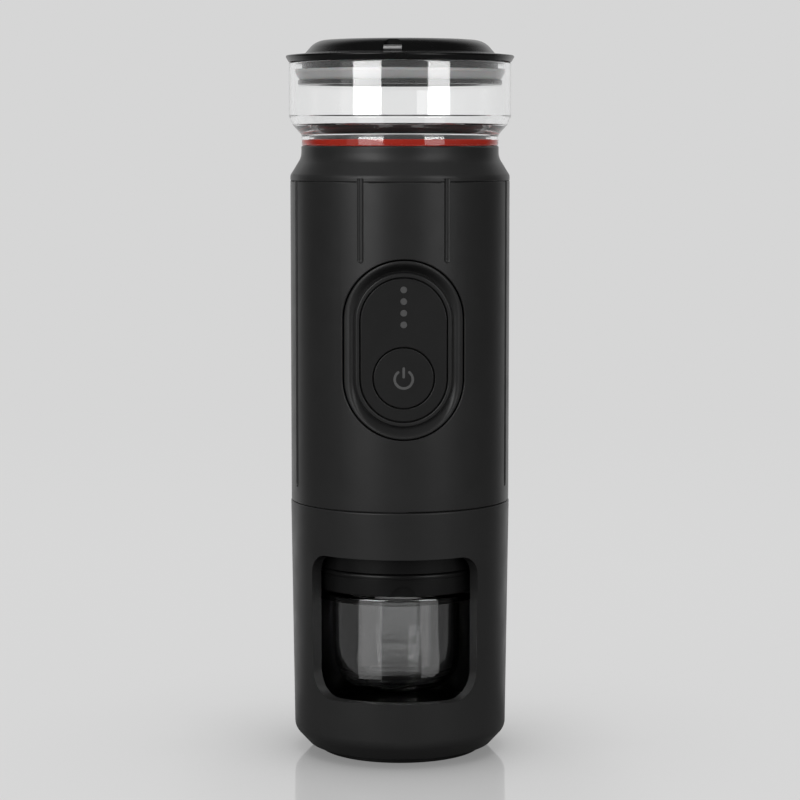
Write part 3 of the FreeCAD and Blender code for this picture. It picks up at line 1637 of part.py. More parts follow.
def check_all():
    """Stops on a failed object, a cut that removed nothing, or a bad shape."""
    for thing in DOC.Objects:
        if "Invalid" in thing.State or "Error" in thing.State:
            owner = thing.getParentGeoFeatureGroup()
            raise RuntimeError(f"{thing.Name} in {owner and owner.Label} failed: {thing.State}")
        base = getattr(thing, "BaseFeature", None)
        is_cut = thing.TypeId in ("PartDesign::Pocket", "PartDesign::Groove")
        if is_cut and base is not None and thing.Shape.Volume > base.Shape.Volume - TOLERANCE:
            raise RuntimeError(f"{thing.Name} in {thing.getParentGeoFeatureGroup().Label} cuts nothing")
    for body in PARTS:
        if body.Shape.isNull() or not body.Shape.isValid() or not body.Shape.Solids:
            raise RuntimeError(f"{body.Label} has no valid solid")


def write_all():
    os.makedirs("parts", exist_ok=True)
    for body in PARTS:
        body.Shape.exportStep(os.path.join("parts", body.Label + ".step"))
        print(f"{body.Label}: {len(body.Shape.Solids)} solid(s), {body.Shape.Volume:.1f} mm3")


fill_sheet()
build_all()
check_all()
write_all()
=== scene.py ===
"""Looks of a battery-powered portable espresso maker: finishes, small marks, studio and camera.

Metres, +Z up, the control panel towards -Y, the origin at the centre of the foot's underside.
"""

import math

import bmesh
import bpy
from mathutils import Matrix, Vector


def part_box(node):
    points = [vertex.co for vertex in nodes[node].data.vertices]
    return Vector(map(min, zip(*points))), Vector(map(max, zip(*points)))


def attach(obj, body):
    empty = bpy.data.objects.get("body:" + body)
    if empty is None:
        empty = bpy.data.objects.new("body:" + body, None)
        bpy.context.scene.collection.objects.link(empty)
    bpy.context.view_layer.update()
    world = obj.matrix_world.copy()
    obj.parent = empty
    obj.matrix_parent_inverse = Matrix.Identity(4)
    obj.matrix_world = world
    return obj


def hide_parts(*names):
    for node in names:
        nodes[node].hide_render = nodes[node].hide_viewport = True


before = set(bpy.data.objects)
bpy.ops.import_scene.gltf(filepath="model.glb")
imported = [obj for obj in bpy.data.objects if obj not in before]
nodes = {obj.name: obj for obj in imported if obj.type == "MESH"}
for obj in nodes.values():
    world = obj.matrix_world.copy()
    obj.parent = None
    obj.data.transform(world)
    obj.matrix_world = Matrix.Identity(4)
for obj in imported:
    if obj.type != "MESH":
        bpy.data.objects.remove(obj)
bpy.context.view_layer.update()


# ---------------------------------------------------------------- finishes


def socket_of(group, kind, name):
    """The input or output of a node that has a name."""
    return next(s for s in getattr(group, kind) if s.name == name and s.enabled)


class Finish:
    """A material whose tone, gloss and relief each follow their own noise in the piece's frame."""

    def __init__(self, name, tones, roughness, **constants):
        self.material = bpy.data.materials.new(name)
        self.material.use_nodes = True
        self.tree = self.material.node_tree
        self.shader = self.tree.nodes["Principled BSDF"]
        self.place = self.tree.nodes.new("ShaderNodeTexCoord").outputs["Object"]
        self.height = None
        for socket, value in constants.items():
            self.shader.inputs[socket.replace("_", " ")].default_value = value
        self.tones = tones
        self.roughness = roughness

    def new(self, kind, **settings):
        node = self.tree.nodes.new("ShaderNode" + kind)
        for key, value in settings.items():
            setattr(node, key, value)
        return node

    def join(self, output, target):
        self.tree.links.new(output, target)

    def stretched(self, scale):
        """The piece's coordinates, with one stretch for each axis."""
        mapping = self.new("Mapping")
        self.join(self.place, mapping.inputs["Vector"])
        mapping.inputs["Scale"].default_value = scale
        return mapping.outputs["Vector"]

    def noise(self, scale, detail=2.0, stretch=None, rough=0.5):
        node = self.new("TexNoise")
        node.inputs["Scale"].default_value = scale
        node.inputs["Detail"].default_value = detail
        node.inputs["Roughness"].default_value = rough
        vector = self.place if stretch is None else self.stretched(stretch)
        self.join(vector, node.inputs["Vector"])
        return node.outputs["Fac"]

    def spread(self, source, low, high, lowest=0.3, highest=0.7):
        """Maps a noise's usual range onto low to high."""
        node = self.new("MapRange")
        for index, value in enumerate((lowest, highest, low, high), 1):
            node.inputs[index].default_value = value
        self.join(source, node.inputs["Value"])
        return node.outputs["Result"]

    def colour(self, source):
        mix = self.new("Mix", data_type="RGBA")
        for name, tone in zip("AB", self.tones):
            socket_of(mix, "inputs", name).default_value = (*tone, 1)
        self.join(self.spread(source, 0, 1), mix.inputs["Factor"])
        self.join(socket_of(mix, "outputs", "Result"), self.shader.inputs["Base Color"])
        return self

    def gloss(self, source):
        self.join(self.spread(source, *self.roughness), self.shader.inputs["Roughness"])
        return self

    def relief(self, source, depth, strength=1.0):
        """Adds a relief of that depth in metres on top of the ones before."""
        bump = self.new("Bump")
        bump.inputs["Strength"].default_value = strength
        bump.inputs["Distance"].default_value = depth
        self.join(source, bump.inputs["Height"])
        if self.height is not None:
            self.join(self.height, bump.inputs["Normal"])
        self.height = bump.outputs["Normal"]
        self.join(self.height, self.shader.inputs["Normal"])
        return self


def grey(value):
    return (value, value, value)


def moulded(name, tones, roughness, grain=2600, depth=0.000006, **constants):
    """Moulded or painted plastic with a fine spark-eroded grain."""
    made = Finish(name, tones, roughness, **constants)
    made.colour(made.noise(45, 3)).gloss(made.noise(120, 3)).relief(made.noise(grain, 2), depth)
    return made.material


def brushed(name, tones, roughness, stretch, depth=0.000004, **constants):
    """Metal with fine lines along the axis that the stretch leaves short."""
    made = Finish(name, tones, roughness, Metallic=1.0, **constants)
    lines = made.noise(900, 3, stretch)
    made.colour(made.noise(60, 3)).gloss(lines).relief(lines, depth)
    return made.material


def clear(name, tones, roughness, **constants):
    """Glass with a faint unevenness from pressing. Below a roughness of 0.004 it reflects sharply."""
    made = Finish(name, tones, roughness, Transmission_Weight=1.0, **constants)
    made.colour(made.noise(30, 2)).gloss(made.noise(80, 2)).relief(made.noise(30, 1), 0.00001)
    return made.material


matte_black = moulded("matte_black", (grey(0.026), grey(0.030)), (0.34, 0.40))
shell_black = moulded("shell_black", (grey(0.026), grey(0.030)), (0.36, 0.42))
panel_black = moulded("panel_black", (grey(0.021), grey(0.025)), (0.30, 0.35), 3400, 0.000003)
lid_black = moulded("lid_black", (grey(0.0050), grey(0.0065)), (0.22, 0.28), 3400, 0.000002)
holder_black = moulded("holder_black", (grey(0.004), grey(0.006)), (0.30, 0.38))
inner_black = moulded("inner_black", (grey(0.02), grey(0.03)), (0.40, 0.50))
rubber_black = moulded("rubber_black", (grey(0.010), grey(0.014)), (0.55, 0.65), 1800, 0.00001)
red_silicone = moulded(
    "red_silicone", ((0.52, 0.017, 0.003), (0.58, 0.022, 0.004)), (0.50, 0.60), 1500, 0.000004,
    Specular_IOR_Level=0.25,
)
grey_silicone = moulded(
    "grey_silicone", (grey(0.46), grey(0.50)), (0.35, 0.45), 1500, 0.000004,
    Subsurface_Weight=0.2, Subsurface_Scale=0.002,
)
light_grey = moulded("light_grey", (grey(0.105), grey(0.125)), (0.34, 0.40), 2000, 0.000002)
print_grey = moulded("print_grey", (grey(0.115), grey(0.13)), (0.40, 0.48), 2000, 0.000002)
steel = brushed("steel", ((0.50, 0.50, 0.49), (0.60, 0.60, 0.59)), (0.24, 0.36), (1, 1, 14))
bright = brushed("bright_metal", (grey(0.80), grey(0.86)), (0.34, 0.40), (1, 6, 6), 0.000001)
aluminium = brushed("aluminium", ((0.68, 0.69, 0.70), (0.76, 0.77, 0.78)), (0.28, 0.40), (1, 1, 10))
brass = brushed("brass", ((0.62, 0.42, 0.16), (0.72, 0.52, 0.22)), (0.22, 0.34), (1, 1, 10))
board_green = moulded("board_green", ((0.010, 0.07, 0.03), (0.016, 0.10, 0.045)), (0.28, 0.36), 600)
cell_wrap = moulded("cell_wrap", ((0.02, 0.06, 0.16), (0.03, 0.08, 0.20)), (0.20, 0.28), 500)
hose_clear = moulded(
    "hose_clear", ((0.62, 0.64, 0.62), (0.72, 0.74, 0.72)), (0.25, 0.35), 500, 0.000004,
    Transmission_Weight=0.6, IOR=1.41,
)
tank_glass = clear("tank_glass", ((0.975, 0.98, 0.98), (0.99, 0.99, 0.99)), (0.0, 0.002), IOR=1.49)
cup_glass = clear("cup_glass", ((0.96, 0.965, 0.965), (0.98, 0.98, 0.98)), (0.0, 0.002), IOR=1.50)

FINISHES = {
    "foot_ring": rubber_black,
    "cup_shell": shell_black,
    "cup_pad": rubber_black,
    "glass_cup": cup_glass,
    "spigot_ring": rubber_black,
    "base_ring": inner_black,
    "brew_head": holder_black,
    "basket_holder": holder_black,
    "spout": inner_black,
    "filter_basket": steel,
    "brew_gasket": rubber_black,
    "shower_screen": steel,
    "boiler": aluminium,
    "heater_band": steel,
    "check_valve": brass,
    "pressure_hose": hose_clear,
    "pump_head": inner_black,
    "motor_can": steel,
    "motor_bushes": brass,
    "motor_rotor": steel,
    "inlet_hose": hose_clear,
    "water_inlet": inner_black,
    "inlet_strainer": steel,
    "inner_frame": inner_black,
    "control_board": board_green,
    "tact_switch": inner_black,
    "switch_plunger": inner_black,
    "power_button": panel_black,
    "battery_lights": light_grey,
    "panel_face": panel_black,
    "panel_bezel": matte_black,
    "battery_cells": cell_wrap,
    "chassis_screws": steel,
    "body_sleeve": matte_black,
    "neck_collar": matte_black,
    "tank_gasket": red_silicone,
    "water_tank": tank_glass,
    "lid_cap": lid_black,
    "lid_vent_lip": bright,
    "lid_seal": grey_silicone,
    "lid_plug_ring": lid_black,
    "charge_board": board_green,
    "charge_port": steel,
    "port_cover": rubber_black,
}


def dress_nodes():
    """Gives each CAD node its finish."""
    for name, finish in FINISHES.items():
        mesh = nodes[name].data
        mesh.materials.clear()
        mesh.materials.append(finish)


# ---------------------------------------------------------------- pieces


# The bezel in millimetres: (half width, lower and upper centre) of its outer and inner outline, its
# levels along Y, and where across the band (0 outside, 1 inside) the roll ends and the ridge starts.
BODY_RADIUS = 37.5
PANEL_OUTER = (19.75, 131.45, 151.15)
PANEL_INNER = (14.75, 131.6, 150.6)
PANEL_LEDGE = 12.9
PANEL_BACK = -29.2
PANEL_RECESS = -31.6
VALLEY = -32.5
CREST = -34.05
EDGE_ROUND = 0.3
ROLL_FROM = 0.12
ROLL_TO = 0.68
ROLL_STEPS = 28
RIDGE_FOOT = 0.745
RIDGE_ROUND = 0.45
RIDGE_STEPS = 7
ROUND_STEPS = 5

# Profiles as radius, height over the base and the corner's rounding, in millimetres.
TANK_PROFILE = (
    (31.4, 0, 0.4), (33.6, 0, 0.4), (33.6, 3.6, 1.6), (36.7, 7.0, 0.8), (37.9, 9.8, 1.2), (37.9, 28.1, 0.6),
    (35.9, 28.1, 0.6), (35.9, 10.2, 0.4), (34.9, 7.8, 0.4), (31.4, 4.6, 0.6),
)
CUP_BORE = 19.7
CUP_SHOULDER = 1.5
CUP_WALL = 2.0
GASKET = (208.7, 210.75, 31.43, 29.4, 0.3)
SMOOTH_BELOW = 40


def mm(*values):
    return tuple(value / 1000 for value in values)


def add_piece(name, points, faces, finish, body, smooth=True, outward=True):
    """A mesh piece from points in millimetres, riding on a body.

    outward turns all faces away from the piece's middle; a piece with a closed hollow brings them turned.
    """
    mesh = bpy.data.meshes.new(name)
    mesh.from_pydata([mm(*point) for point in points], [], faces)
    mesh.materials.append(finish)
    mesh.validate()
    if outward:
        shape = bmesh.new()
        shape.from_mesh(mesh)
        bmesh.ops.recalc_face_normals(shape, faces=shape.faces)
        shape.to_mesh(mesh)
        shape.free()
    for polygon in mesh.polygons:
        polygon.use_smooth = smooth
    piece = bpy.data.objects.new(name, mesh)
    bpy.context.scene.collection.objects.link(piece)
    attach(piece, body)
    return piece


def sharpen(piece):
    """Keeps the sharp edges and smooths the rest."""
    piece.data.set_sharp_from_angle(angle=math.radians(SMOOTH_BELOW))


def ring_faces(rows, count):
    """Quads between closed loops of points, and from the last loop back to the first."""
    faces = []
    for row in range(rows):
        after = (row + 1) % rows
        for i in range(count):
            j = (i + 1) % count
            faces.append((row * count + i, row * count + j, after * count + j, after * count + i))
    return faces


def turned(line, base=0.0, across=0.0, count=256):
    """Points of a line of radius and height, turned about an upright axis."""
    angles = [2 * math.pi * i / count for i in range(count)]
    return [(across + radius * math.cos(angle), radius * math.sin(angle), base + level)
            for radius, level in line for angle in angles]


def stadium_loop(half, low, high, steps=40, sides=12):
    """Points x, z at one distance from an upright line, the same number of them for every distance."""
    arc = [math.pi * i / steps for i in range(steps + 1)]
    upper = [(half * math.cos(a), high + half * math.sin(a)) for a in arc]
    lower = [(-half * math.cos(a), low - half * math.sin(a)) for a in arc]
    left = [(-half, high + (low - high) * i / sides) for i in range(1, sides)]
    right = [(half, low + (high - low) * i / sides) for i in range(1, sides)]
    return upper + left + lower + right


def ease(share):
    share = min(1, max(0, share))
    return share * share * (3 - 2 * share)


def make_bezel():
    """The panel's surround: a band that leaves the sleeve in one curve, a valley and a thin ridge."""
    outer = stadium_loop(*PANEL_OUTER)
    inner = stadium_loop(*PANEL_INNER)
    ledge = stadium_loop(PANEL_LEDGE, *PANEL_INNER[1:])
    width = PANEL_OUTER[0] - PANEL_INNER[0]
    edge = EDGE_ROUND / width
    quarter = [math.pi / 2 * i / ROUND_STEPS for i in range(ROUND_STEPS + 1)]
    points = []

    def sleeve(x):
        return -math.sqrt(BODY_RADIUS ** 2 - x * x)

    def row(share, depth):
        """One loop of the surround, a share of the way from the outer to the inner outline."""
        for (x0, z0), (x1, z1) in zip(outer, inner):
            x, z = x0 + (x1 - x0) * share, z0 + (z1 - z0) * share
            points.append((x, depth(x), z))

    row(0, lambda x: PANEL_BACK)
    for angle in quarter:
        lift = EDGE_ROUND * (1 - math.sin(angle))
        row(edge * (1 - math.cos(angle)), lambda x: sleeve(x) + lift)
    for i in range(1, ROLL_STEPS + 1):
        share = edge + (ROLL_TO - edge) * i / ROLL_STEPS
        down = ease((share - ROLL_FROM) / (ROLL_TO - ROLL_FROM))
        row(share, lambda x: sleeve(x) * (1 - down) + VALLEY * down)
    for i in range(1, RIDGE_STEPS + 1):
        up = ease(i / RIDGE_STEPS)
        row(ROLL_TO + (RIDGE_FOOT - ROLL_TO) * i / RIDGE_STEPS, lambda x: VALLEY + (CREST + RIDGE_ROUND - VALLEY) * up)
    for angle in quarter[1:]:
        rise = RIDGE_ROUND * math.sin(angle)
        row(RIDGE_FOOT + RIDGE_ROUND * (1 - math.cos(angle)) / width, lambda x: CREST + RIDGE_ROUND - rise)
    for angle in quarter:
        fall = EDGE_ROUND * (1 - math.cos(angle))
        row(1 - edge * (1 - math.sin(angle)), lambda x: CREST + fall)
    row(1, lambda x: PANEL_RECESS)
    points.extend((x, PANEL_RECESS, z) for x, z in ledge)
    points.extend((x, PANEL_BACK, z) for x, z in ledge)

    faces = ring_faces(len(points) // len(outer), len(outer))
    bezel = add_piece("panel_surround", points, faces, matte_black, "machine")
    sharpen(bezel)
    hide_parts("panel_bezel")


def rounded(corners, steps=6, most=0.499):
    """An outline of points r, z, where each corner may carry a radius as its third value.

    A rounding takes at most that share of the run on either side.
    """
    line = []
    for i, (r, z, *soft) in enumerate(corners):
        here = Vector((r, z))
        before = Vector(corners[i - 1][:2]) - here
        after = Vector(corners[(i + 1) % len(corners)][:2]) - here
        if not soft:
            line.append((r, z))
            continue
        half = before.angle(after) / 2
        reach = min(soft[0] / math.tan(half), before.length * most, after.length * most)
        radius = reach * math.tan(half)
        middle = here + (before.normalized() + after.normalized()).normalized() * radius / math.sin(half)
        first = here + before.normalized() * reach - middle
        last = here + after.normalized() * reach - middle
        turn = math.atan2(first.cross(last), first.dot(last))
        for step in range(steps + 1):
            angle = turn * step / steps
            line.append((middle.x + first.x * math.cos(angle) - first.y * math.sin(angle),
                         middle.y + first.x * math.sin(angle) + first.y * math.cos(angle)))
    return line


def supported(line, longest=1.0, hold=0.06):
    """The outline with a point close to both ends of each long run, so that the run is shaded straight."""
    held = []
    for here, after in zip(line, line[1:] + line[:1]):
        held.append(here)
        run = math.dist(here, after)
        if run > longest:
            for share in (hold / run, 1 - hold / run):
                held.append((here[0] + (after[0] - here[0]) * share, here[1] + (after[1] - here[1]) * share))
    return held


def make_tank():
    """The clear tank with a blown shoulder of even wall, over the solid step of its CAD node."""
    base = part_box("water_tank")[0][2] * 1000
    points = turned(supported(rounded(TANK_PROFILE)), base)
    count = 256
    tank = add_piece("clear_tank", points, ring_faces(len(points) // count, count), tank_glass, "tank")
    sharpen(tank)
    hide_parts("water_tank")


def skin(line, base, across, start, inward=False, count=256):
    """Points and faces of a closed surface turned from a line that starts and ends on the axis.

    start is the number of points before it. inward turns the faces towards the inside.
    """
    points, rows, faces = [], [], []
    for radius, level in line:
        rows.append(start + len(points))
        points.extend([(across, 0, base + level)] if radius == 0 else turned([(radius, level)], base, across, count))
    for here, after in zip(rows, rows[1:]):
        for i in range(count):
            j = (i + 1) % count
            if here == rows[0]:
                face = (here, after + j, after + i)
            elif after == rows[-1]:
                face = (here + i, here + j, after)
            else:
                face = (here + i, here + j, after + j, after + i)
            faces.append(face[::-1] if inward else face)
    return points, faces


def make_cup():
    """The double-walled glass: an outer skin, and the skin of the closed air space between its walls."""
    low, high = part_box("glass_cup")
    across, base, tall = (low[0] + high[0]) * 500, low[2] * 1000, (high[2] - low[2]) * 1000
    brim = tall - CUP_SHOULDER
    cavity = CUP_BORE + CUP_WALL
    outside = [
        (0, 0), (24.4, 0, 7.0), (30.1, 24.1, 30), (30.4, tall, 0.5), (28.8, tall, 0.5),
        (CUP_BORE, brim, 1.4), (CUP_BORE, 10.0, 8.5), (0, 10.0),
    ]
    inside = [
        (0, 1.6), (22.9, 1.6, 5.4), (28.5, 24.1, 30), (28.8, brim - 0.6, 0.3),
        (cavity, brim - 1.6, 0.8), (cavity, 8.0, 10.5), (0, 8.0),
    ]
    # Both lines end on the axis, so the support points on the run back to their start are left out.
    points, faces = skin(supported(rounded(outside))[:-2], base, across, 0)
    more, others = skin(supported(rounded(inside))[:-2], base, across, len(points), inward=True)
    cup = add_piece("glass", points + more, faces + others, cup_glass, "cup", outward=False)
    sharpen(cup)
    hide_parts("glass_cup")


def make_gasket():
    """The red ring, pressed so tightly to the neck's bore that no air is left between the two."""
    low, high, bore, inner, soft = GASKET
    section = [
        (inner, low), (bore - soft, low), (bore, low + soft),
        (bore, high - soft), (bore - soft, high), (inner, high),
    ]
    count = 160
    points = turned(section, count=count)
    ring = add_piece("neck_ring", points, ring_faces(len(section), count), red_silicone, "machine")
    sharpen(ring)
    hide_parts("tank_gasket")


def make_symbol():
    """A plain power symbol printed on the button: an open ring and a bar, both with round ends."""
    centre, front, film = 131.75, -33.6, 0.04
    radius, stroke, opening = 3.0, 0.85, 38
    ring_centre, bar = centre - 0.35, (0.4, 2.0, 3.3)
    quarter = math.pi / 2
    points, faces = [], []

    def beside(point, angle):
        return point[0] + stroke / 2 * math.cos(angle), point[1] + stroke / 2 * math.sin(angle)

    def heading(start, end):
        return math.atan2(end[1] - start[1], end[0] - start[0])

    def round_end(point, first, steps=8):
        return [beside(point, first + math.pi * i / steps) for i in range(steps + 1)]

    def band(line):
        """A strip of one width along a line of points, with round ends, as a thin closed film."""
        outline = round_end(line[0], heading(line[0], line[1]) + quarter)
        cap = round_end(line[-1], heading(line[-2], line[-1]) - quarter)
        runs = [(line[i], heading(line[i - 1], line[i + 1])) for i in range(1, len(line) - 1)]
        below = [beside(point, run - quarter) for point, run in runs]
        above = [beside(point, run + quarter) for point, run in runs]
        rim = outline + below + cap + above[::-1]
        start, count = len(points), len(rim)
        for depth in (front, front - film):
            points.extend((x, depth, z) for x, z in rim)
        for i in range(count):
            j = (i + 1) % count
            faces.append((start + i, start + j, start + count + j, start + count + i))
        faces.append(tuple(start + i for i in range(count)))
        faces.append(tuple(start + count + i for i in range(count))[::-1])

    spread = [math.radians(90 + opening + (360 - 2 * opening) * i / 60) for i in range(61)]
    band([(radius * math.cos(a), ring_centre + radius * math.sin(a)) for a in spread])
    band([(0, centre + level) for level in bar])
    add_piece("power_symbol", points, faces, print_grey, "button", smooth=False)


# ---------------------------------------------------------------- studio


# Levels as strengths, where 1 is white: what the camera, glass and other rays see around the object.
BACKDROP = 0.672
THROUGH = 0.80
STRAY = 0.46
ROOM_FRONT = 0.02
ROOM_FROM = 0.42
ROOM_TO = 0.90

# The softboxes that sharp reflections in glass show: their level in the world, the level of the painted
# reflection of them on the floor, the compass directions of their sides in degrees from the front, and the
# softness of those sides.
SOFTBOX = 12.0
FLOOR_SOFTBOX_REFLECTION = 1.6
SOFTBOXES = ((-51, -21), (26.5, 50))
SOFTBOX_EDGE = 0.6

# The floor: its half width in metres, tone, glow, gloss, the distances over which it fades into the
# backdrop, the strip before the object that mirrors it, and its two shadows as reach in metres,
# openness at which the shadow is darkest, and the share of the glow that is left there.
FLOOR_HALF = 60
FLOOR_TONE = 0.20
FLOOR_GLOW = 0.592
FLOOR_ROUGHNESS = 0.07
FLOOR_IOR = 1.45
FADE_FROM = 0.30
FADE_TO = 1.10
STRIP_SIDE = (0.045, 0.085)
STRIP_BACK = (0.02, 0.08)
STRIP_FRONT = (-0.20, -0.15)
WIDE_SHADOW = (0.11, 0.3, 0.58)
CLOSE_SHADOW = (0.03, 0.4, 0.84)

# The lamps: name, degrees from the front, width in metres and watts.
LAMP_DISTANCE = 1.1
LAMP_LOW = 0.12
LAMP_HIGH = 1.35
LAMPS = (
    ("strip_left", -36, 0.58, 4.4),
    ("wing_left", -50, 0.60, 1.3),
    ("strip_right", 38, 0.46, 3.0),
    ("wing_right", 56, 0.60, 0.2),
)

# The camera: lens in millimetres, distance from the axis and height in metres, tilt and swing in degrees.
LENS = 115.04
CAMERA_DISTANCE = 0.878
CAMERA_HEIGHT = 0.2128
CAMERA_TILT = 5.966
CAMERA_SWING = -2.1


class Studio:
    """Small helpers for the node trees of the room and the floor."""

    def __init__(self, tree):
        self.tree = tree

    def new(self, kind, **settings):
        node = self.tree.nodes.new("ShaderNode" + kind)
        for key, value in settings.items():
            setattr(node, key, value)
        return node

    def put(self, value, target):
        if isinstance(value, bpy.types.NodeSocket):
            self.tree.links.new(value, target)
        else:
            target.default_value = value

    def math(self, operation, first, second=0.0):
        node = self.new("Math", operation=operation)
        self.put(first, node.inputs[0])
        self.put(second, node.inputs[1])
        return node.outputs[0]

    def product(self, first, *others):
        for other in others:
            first = self.math("MULTIPLY", first, other)
        return first

    def blend(self, share, first, second):
        node = self.new("Mix")
        self.put(share, node.inputs["Factor"])
        self.put(first, socket_of(node, "inputs", "A"))
        self.put(second, socket_of(node, "inputs", "B"))
        return socket_of(node, "outputs", "Result")

    def ramp(self, value, *ends):
        """Maps a value smoothly: where the ramp starts and ends, and its result at either end."""
        node = self.new("MapRange", interpolation_type="SMOOTHSTEP")
        self.put(value, node.inputs["Value"])
        for index, end in enumerate(ends, 1):
            self.put(end, node.inputs[index])
        return node.outputs["Result"]

    def parts(self, vector):
        """X and Y of a vector."""
        node = self.new("SeparateXYZ")
        self.put(vector, node.inputs[0])
        return node.outputs["X"], node.outputs["Y"]

    def shader(self, kind, *inputs, **settings):
        """A shader node with its inputs given in order or by name."""
        node = self.new(kind)
        for index, value in enumerate(inputs):
            self.put(value, node.inputs[index])
        for name, value in settings.items():
            self.put(value, node.inputs[name])
        return node.outputs[0]


def softboxes(tree, x, y, path, level):
    """What a sharp reflection in glass shows of the softboxes, by compass direction from the object.

    In the world this is their light; on the floor it is a painted reflection of them.
    """
    heading = tree.math("ARCTAN2", x, tree.math("MULTIPLY", y, -1.0))
    soft = math.radians(SOFTBOX_EDGE)
    total = 0.0
    for first, last in SOFTBOXES:
        rise = tree.ramp(heading, math.radians(first) - soft, math.radians(first) + soft, 0.0, 1.0)
        fall = tree.ramp(heading, math.radians(last) - soft, math.radians(last) + soft, 1.0, 0.0)
        total = tree.math("ADD", total, tree.product(rise, fall))
    return tree.product(path["Is Singular Ray"], path["Is Glossy Ray"], total, level)


def make_world():
    """A pale backdrop behind the object and a dim room before it, with even stray light."""
    world = bpy.data.worlds.new("studio")
    world.use_nodes = True
    bpy.context.scene.world = world
    room = Studio(world.node_tree)
    path = room.new("LightPath").outputs
    x, y = room.parts(room.new("TexCoord").outputs["Generated"])
    gloss = room.ramp(y, ROOM_FROM, ROOM_TO, ROOM_FRONT, BACKDROP)
    gloss = room.math("ADD", gloss, softboxes(room, x, y, path, SOFTBOX))
    level = room.blend(path["Is Glossy Ray"], STRAY, gloss)
    level = room.blend(path["Is Transmission Ray"], level, THROUGH)
    level = room.blend(path["Is Camera Ray"], level, BACKDROP)
    background = world.node_tree.nodes["Background"]
    room.put(level, background.inputs["Strength"])
    background.inputs["Color"].default_value = (1, 1, 1, 1)


def shadow(slab, reach, closed, darkest):
    """The share of the floor's glow that is left beside the object."""
    hollow = slab.new("AmbientOcclusion", samples=8)
    hollow.inputs["Distance"].default_value = reach
    return slab.ramp(hollow.outputs["AO"], closed, 1.0, darkest, 1.0)


def floor_tone(slab, place):
    """A grey that varies by one part in a hundred."""
    cloud = slab.new("TexNoise")
    slab.put(place, cloud.inputs["Vector"])
    cloud.inputs["Scale"].default_value = 3
    value = slab.ramp(cloud.outputs["Fac"], 0.3, 0.7, FLOOR_TONE * 0.99, FLOOR_TONE * 1.01)
    return slab.shader("CombineColor", value, value, value)


def dress_floor(slab):
    """The floor's look: near the object a lit, glowing and glossy ground, and farther off the backdrop.

    In sharp reflections both also carry a painted reflection of the softboxes.
    """
    path = slab.new("LightPath").outputs
    place = slab.new("TexCoord").outputs["Object"]
    x, y = slab.parts(place)
    reach = slab.new("VectorMath", operation="LENGTH")
    slab.put(place, reach.inputs[0])
    distance = reach.outputs["Value"]

    through = path["Is Transmission Ray"]
    direct = slab.math("MAXIMUM", path["Is Camera Ray"], slab.product(through, THROUGH / BACKDROP))
    behind = slab.ramp(slab.math("DIVIDE", y, distance), ROOM_FROM, ROOM_TO, ROOM_FRONT, BACKDROP)
    # Glossy rays see the floor glow like the backdrop behind the object and dim before it; sharp ones also see a
    # painted reflection of the softboxes on the floor.
    gloss_glow_and_painted_reflection = slab.math("ADD", slab.product(path["Is Glossy Ray"], behind), softboxes(slab, x, y, path, FLOOR_SOFTBOX_REFLECTION))
    gloss_glow_and_painted_reflection = slab.product(gloss_glow_and_painted_reflection, slab.math("SUBTRACT", 1.0, through))

    glow = slab.product(shadow(slab, *WIDE_SHADOW), FLOOR_GLOW, shadow(slab, *CLOSE_SHADOW))
    lit = slab.shader("BsdfDiffuse", Color=floor_tone(slab, place))
    light = slab.shader("Emission", Strength=slab.math("ADD", slab.product(direct, glow), gloss_glow_and_painted_reflection))
    ground = slab.shader("AddShader", lit, light)

    gloss = slab.shader("BsdfGlossy", Roughness=FLOOR_ROUGHNESS)
    facing = slab.shader("Fresnel", IOR=FLOOR_IOR)
    aside = slab.ramp(slab.math("ABSOLUTE", x), *STRIP_SIDE, 1.0, 0.0)
    before = slab.ramp(y, *STRIP_BACK, 1.0, 0.0)
    within = slab.ramp(y, *STRIP_FRONT, 0.0, 1.0)
    near = slab.shader("MixShader", slab.product(facing, aside, before, within), ground, gloss)

    far = slab.shader("Emission", Strength=slab.math("ADD", slab.product(direct, BACKDROP), gloss_glow_and_painted_reflection))
    faded = slab.shader("MixShader", slab.ramp(distance, FADE_FROM, FADE_TO, 0.0, 1.0), near, far)
    slab.put(faded, slab.new("OutputMaterial").inputs["Surface"])


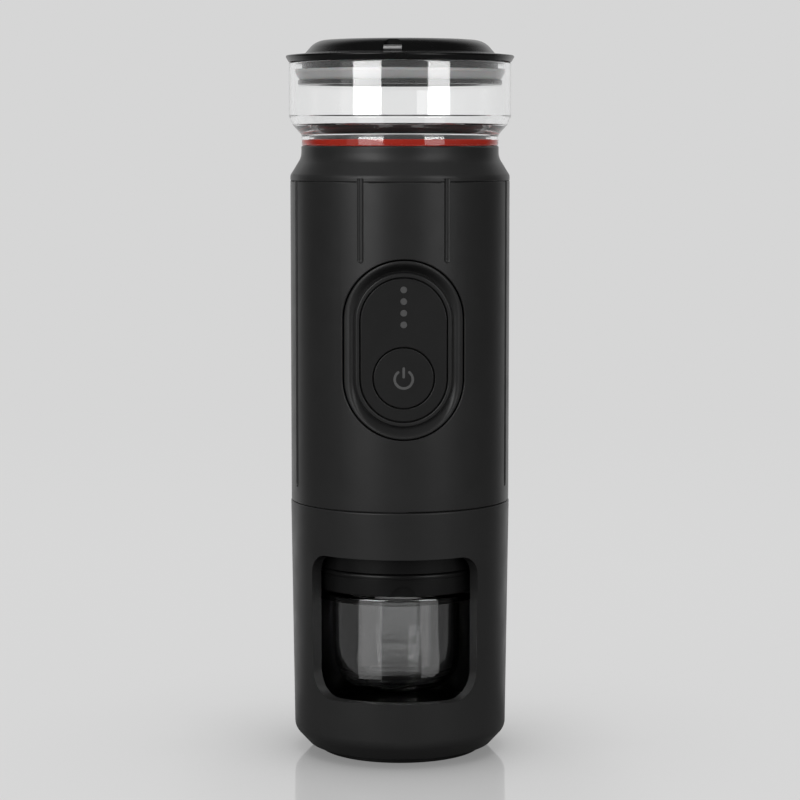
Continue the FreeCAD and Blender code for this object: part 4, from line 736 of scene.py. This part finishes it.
def make_floor():
    """A wide pale floor, as bright as the backdrop, that keeps the object's shadow."""
    half = FLOOR_HALF
    mesh = bpy.data.meshes.new("floor")
    mesh.from_pydata([(-half, -half, 0), (half, -half, 0), (half, half, 0), (-half, half, 0)], [], [(0, 1, 2, 3)])
    floor = bpy.data.objects.new("floor", mesh)
    bpy.context.scene.collection.objects.link(floor)
    material = bpy.data.materials.new("floor")
    material.use_nodes = True
    material.node_tree.nodes.clear()
    dress_floor(Studio(material.node_tree))
    mesh.materials.append(material)
    return floor


def make_lamps(floor):
    """Upright softboxes that face the object and leave the floor out, in which they would be mirrored."""
    unlit = bpy.data.collections.new("unlit")
    unlit.objects.link(floor)
    unlit.collection_objects[0].light_linking.link_state = "EXCLUDE"
    for name, azimuth, width, watts in LAMPS:
        data = bpy.data.lights.new(name, "AREA")
        data.shape = "RECTANGLE"
        data.size = width
        data.size_y = LAMP_HIGH - LAMP_LOW
        data.energy = watts
        lamp = bpy.data.objects.new(name, data)
        bpy.context.scene.collection.objects.link(lamp)
        angle = math.radians(azimuth)
        middle = Vector((math.sin(angle) * LAMP_DISTANCE, -math.cos(angle) * LAMP_DISTANCE, (LAMP_LOW + LAMP_HIGH) / 2))
        lamp.location = middle
        lamp.rotation_euler = (Vector((0, 0, middle.z)) - middle).to_track_quat("-Z", "Y").to_euler()
        lamp.visible_camera = False
        lamp.light_linking.receiver_collection = unlit


def make_camera():
    data = bpy.data.cameras.new("camera")
    data.lens = LENS
    data.clip_start = 0.05
    data.clip_end = 200
    camera = bpy.data.objects.new("camera", data)
    bpy.context.scene.collection.objects.link(camera)
    swing = math.radians(CAMERA_SWING)
    camera.location = (math.sin(swing) * CAMERA_DISTANCE, -math.cos(swing) * CAMERA_DISTANCE, CAMERA_HEIGHT)
    camera.rotation_euler = (math.radians(90 - CAMERA_TILT), 0, swing)
    bpy.context.scene.camera = camera


dress_nodes()
make_bezel()
make_tank()
make_cup()
make_gasket()
make_symbol()
make_world()
make_lamps(make_floor())
make_camera()
bpy.context.scene.view_settings.view_transform = "Standard"
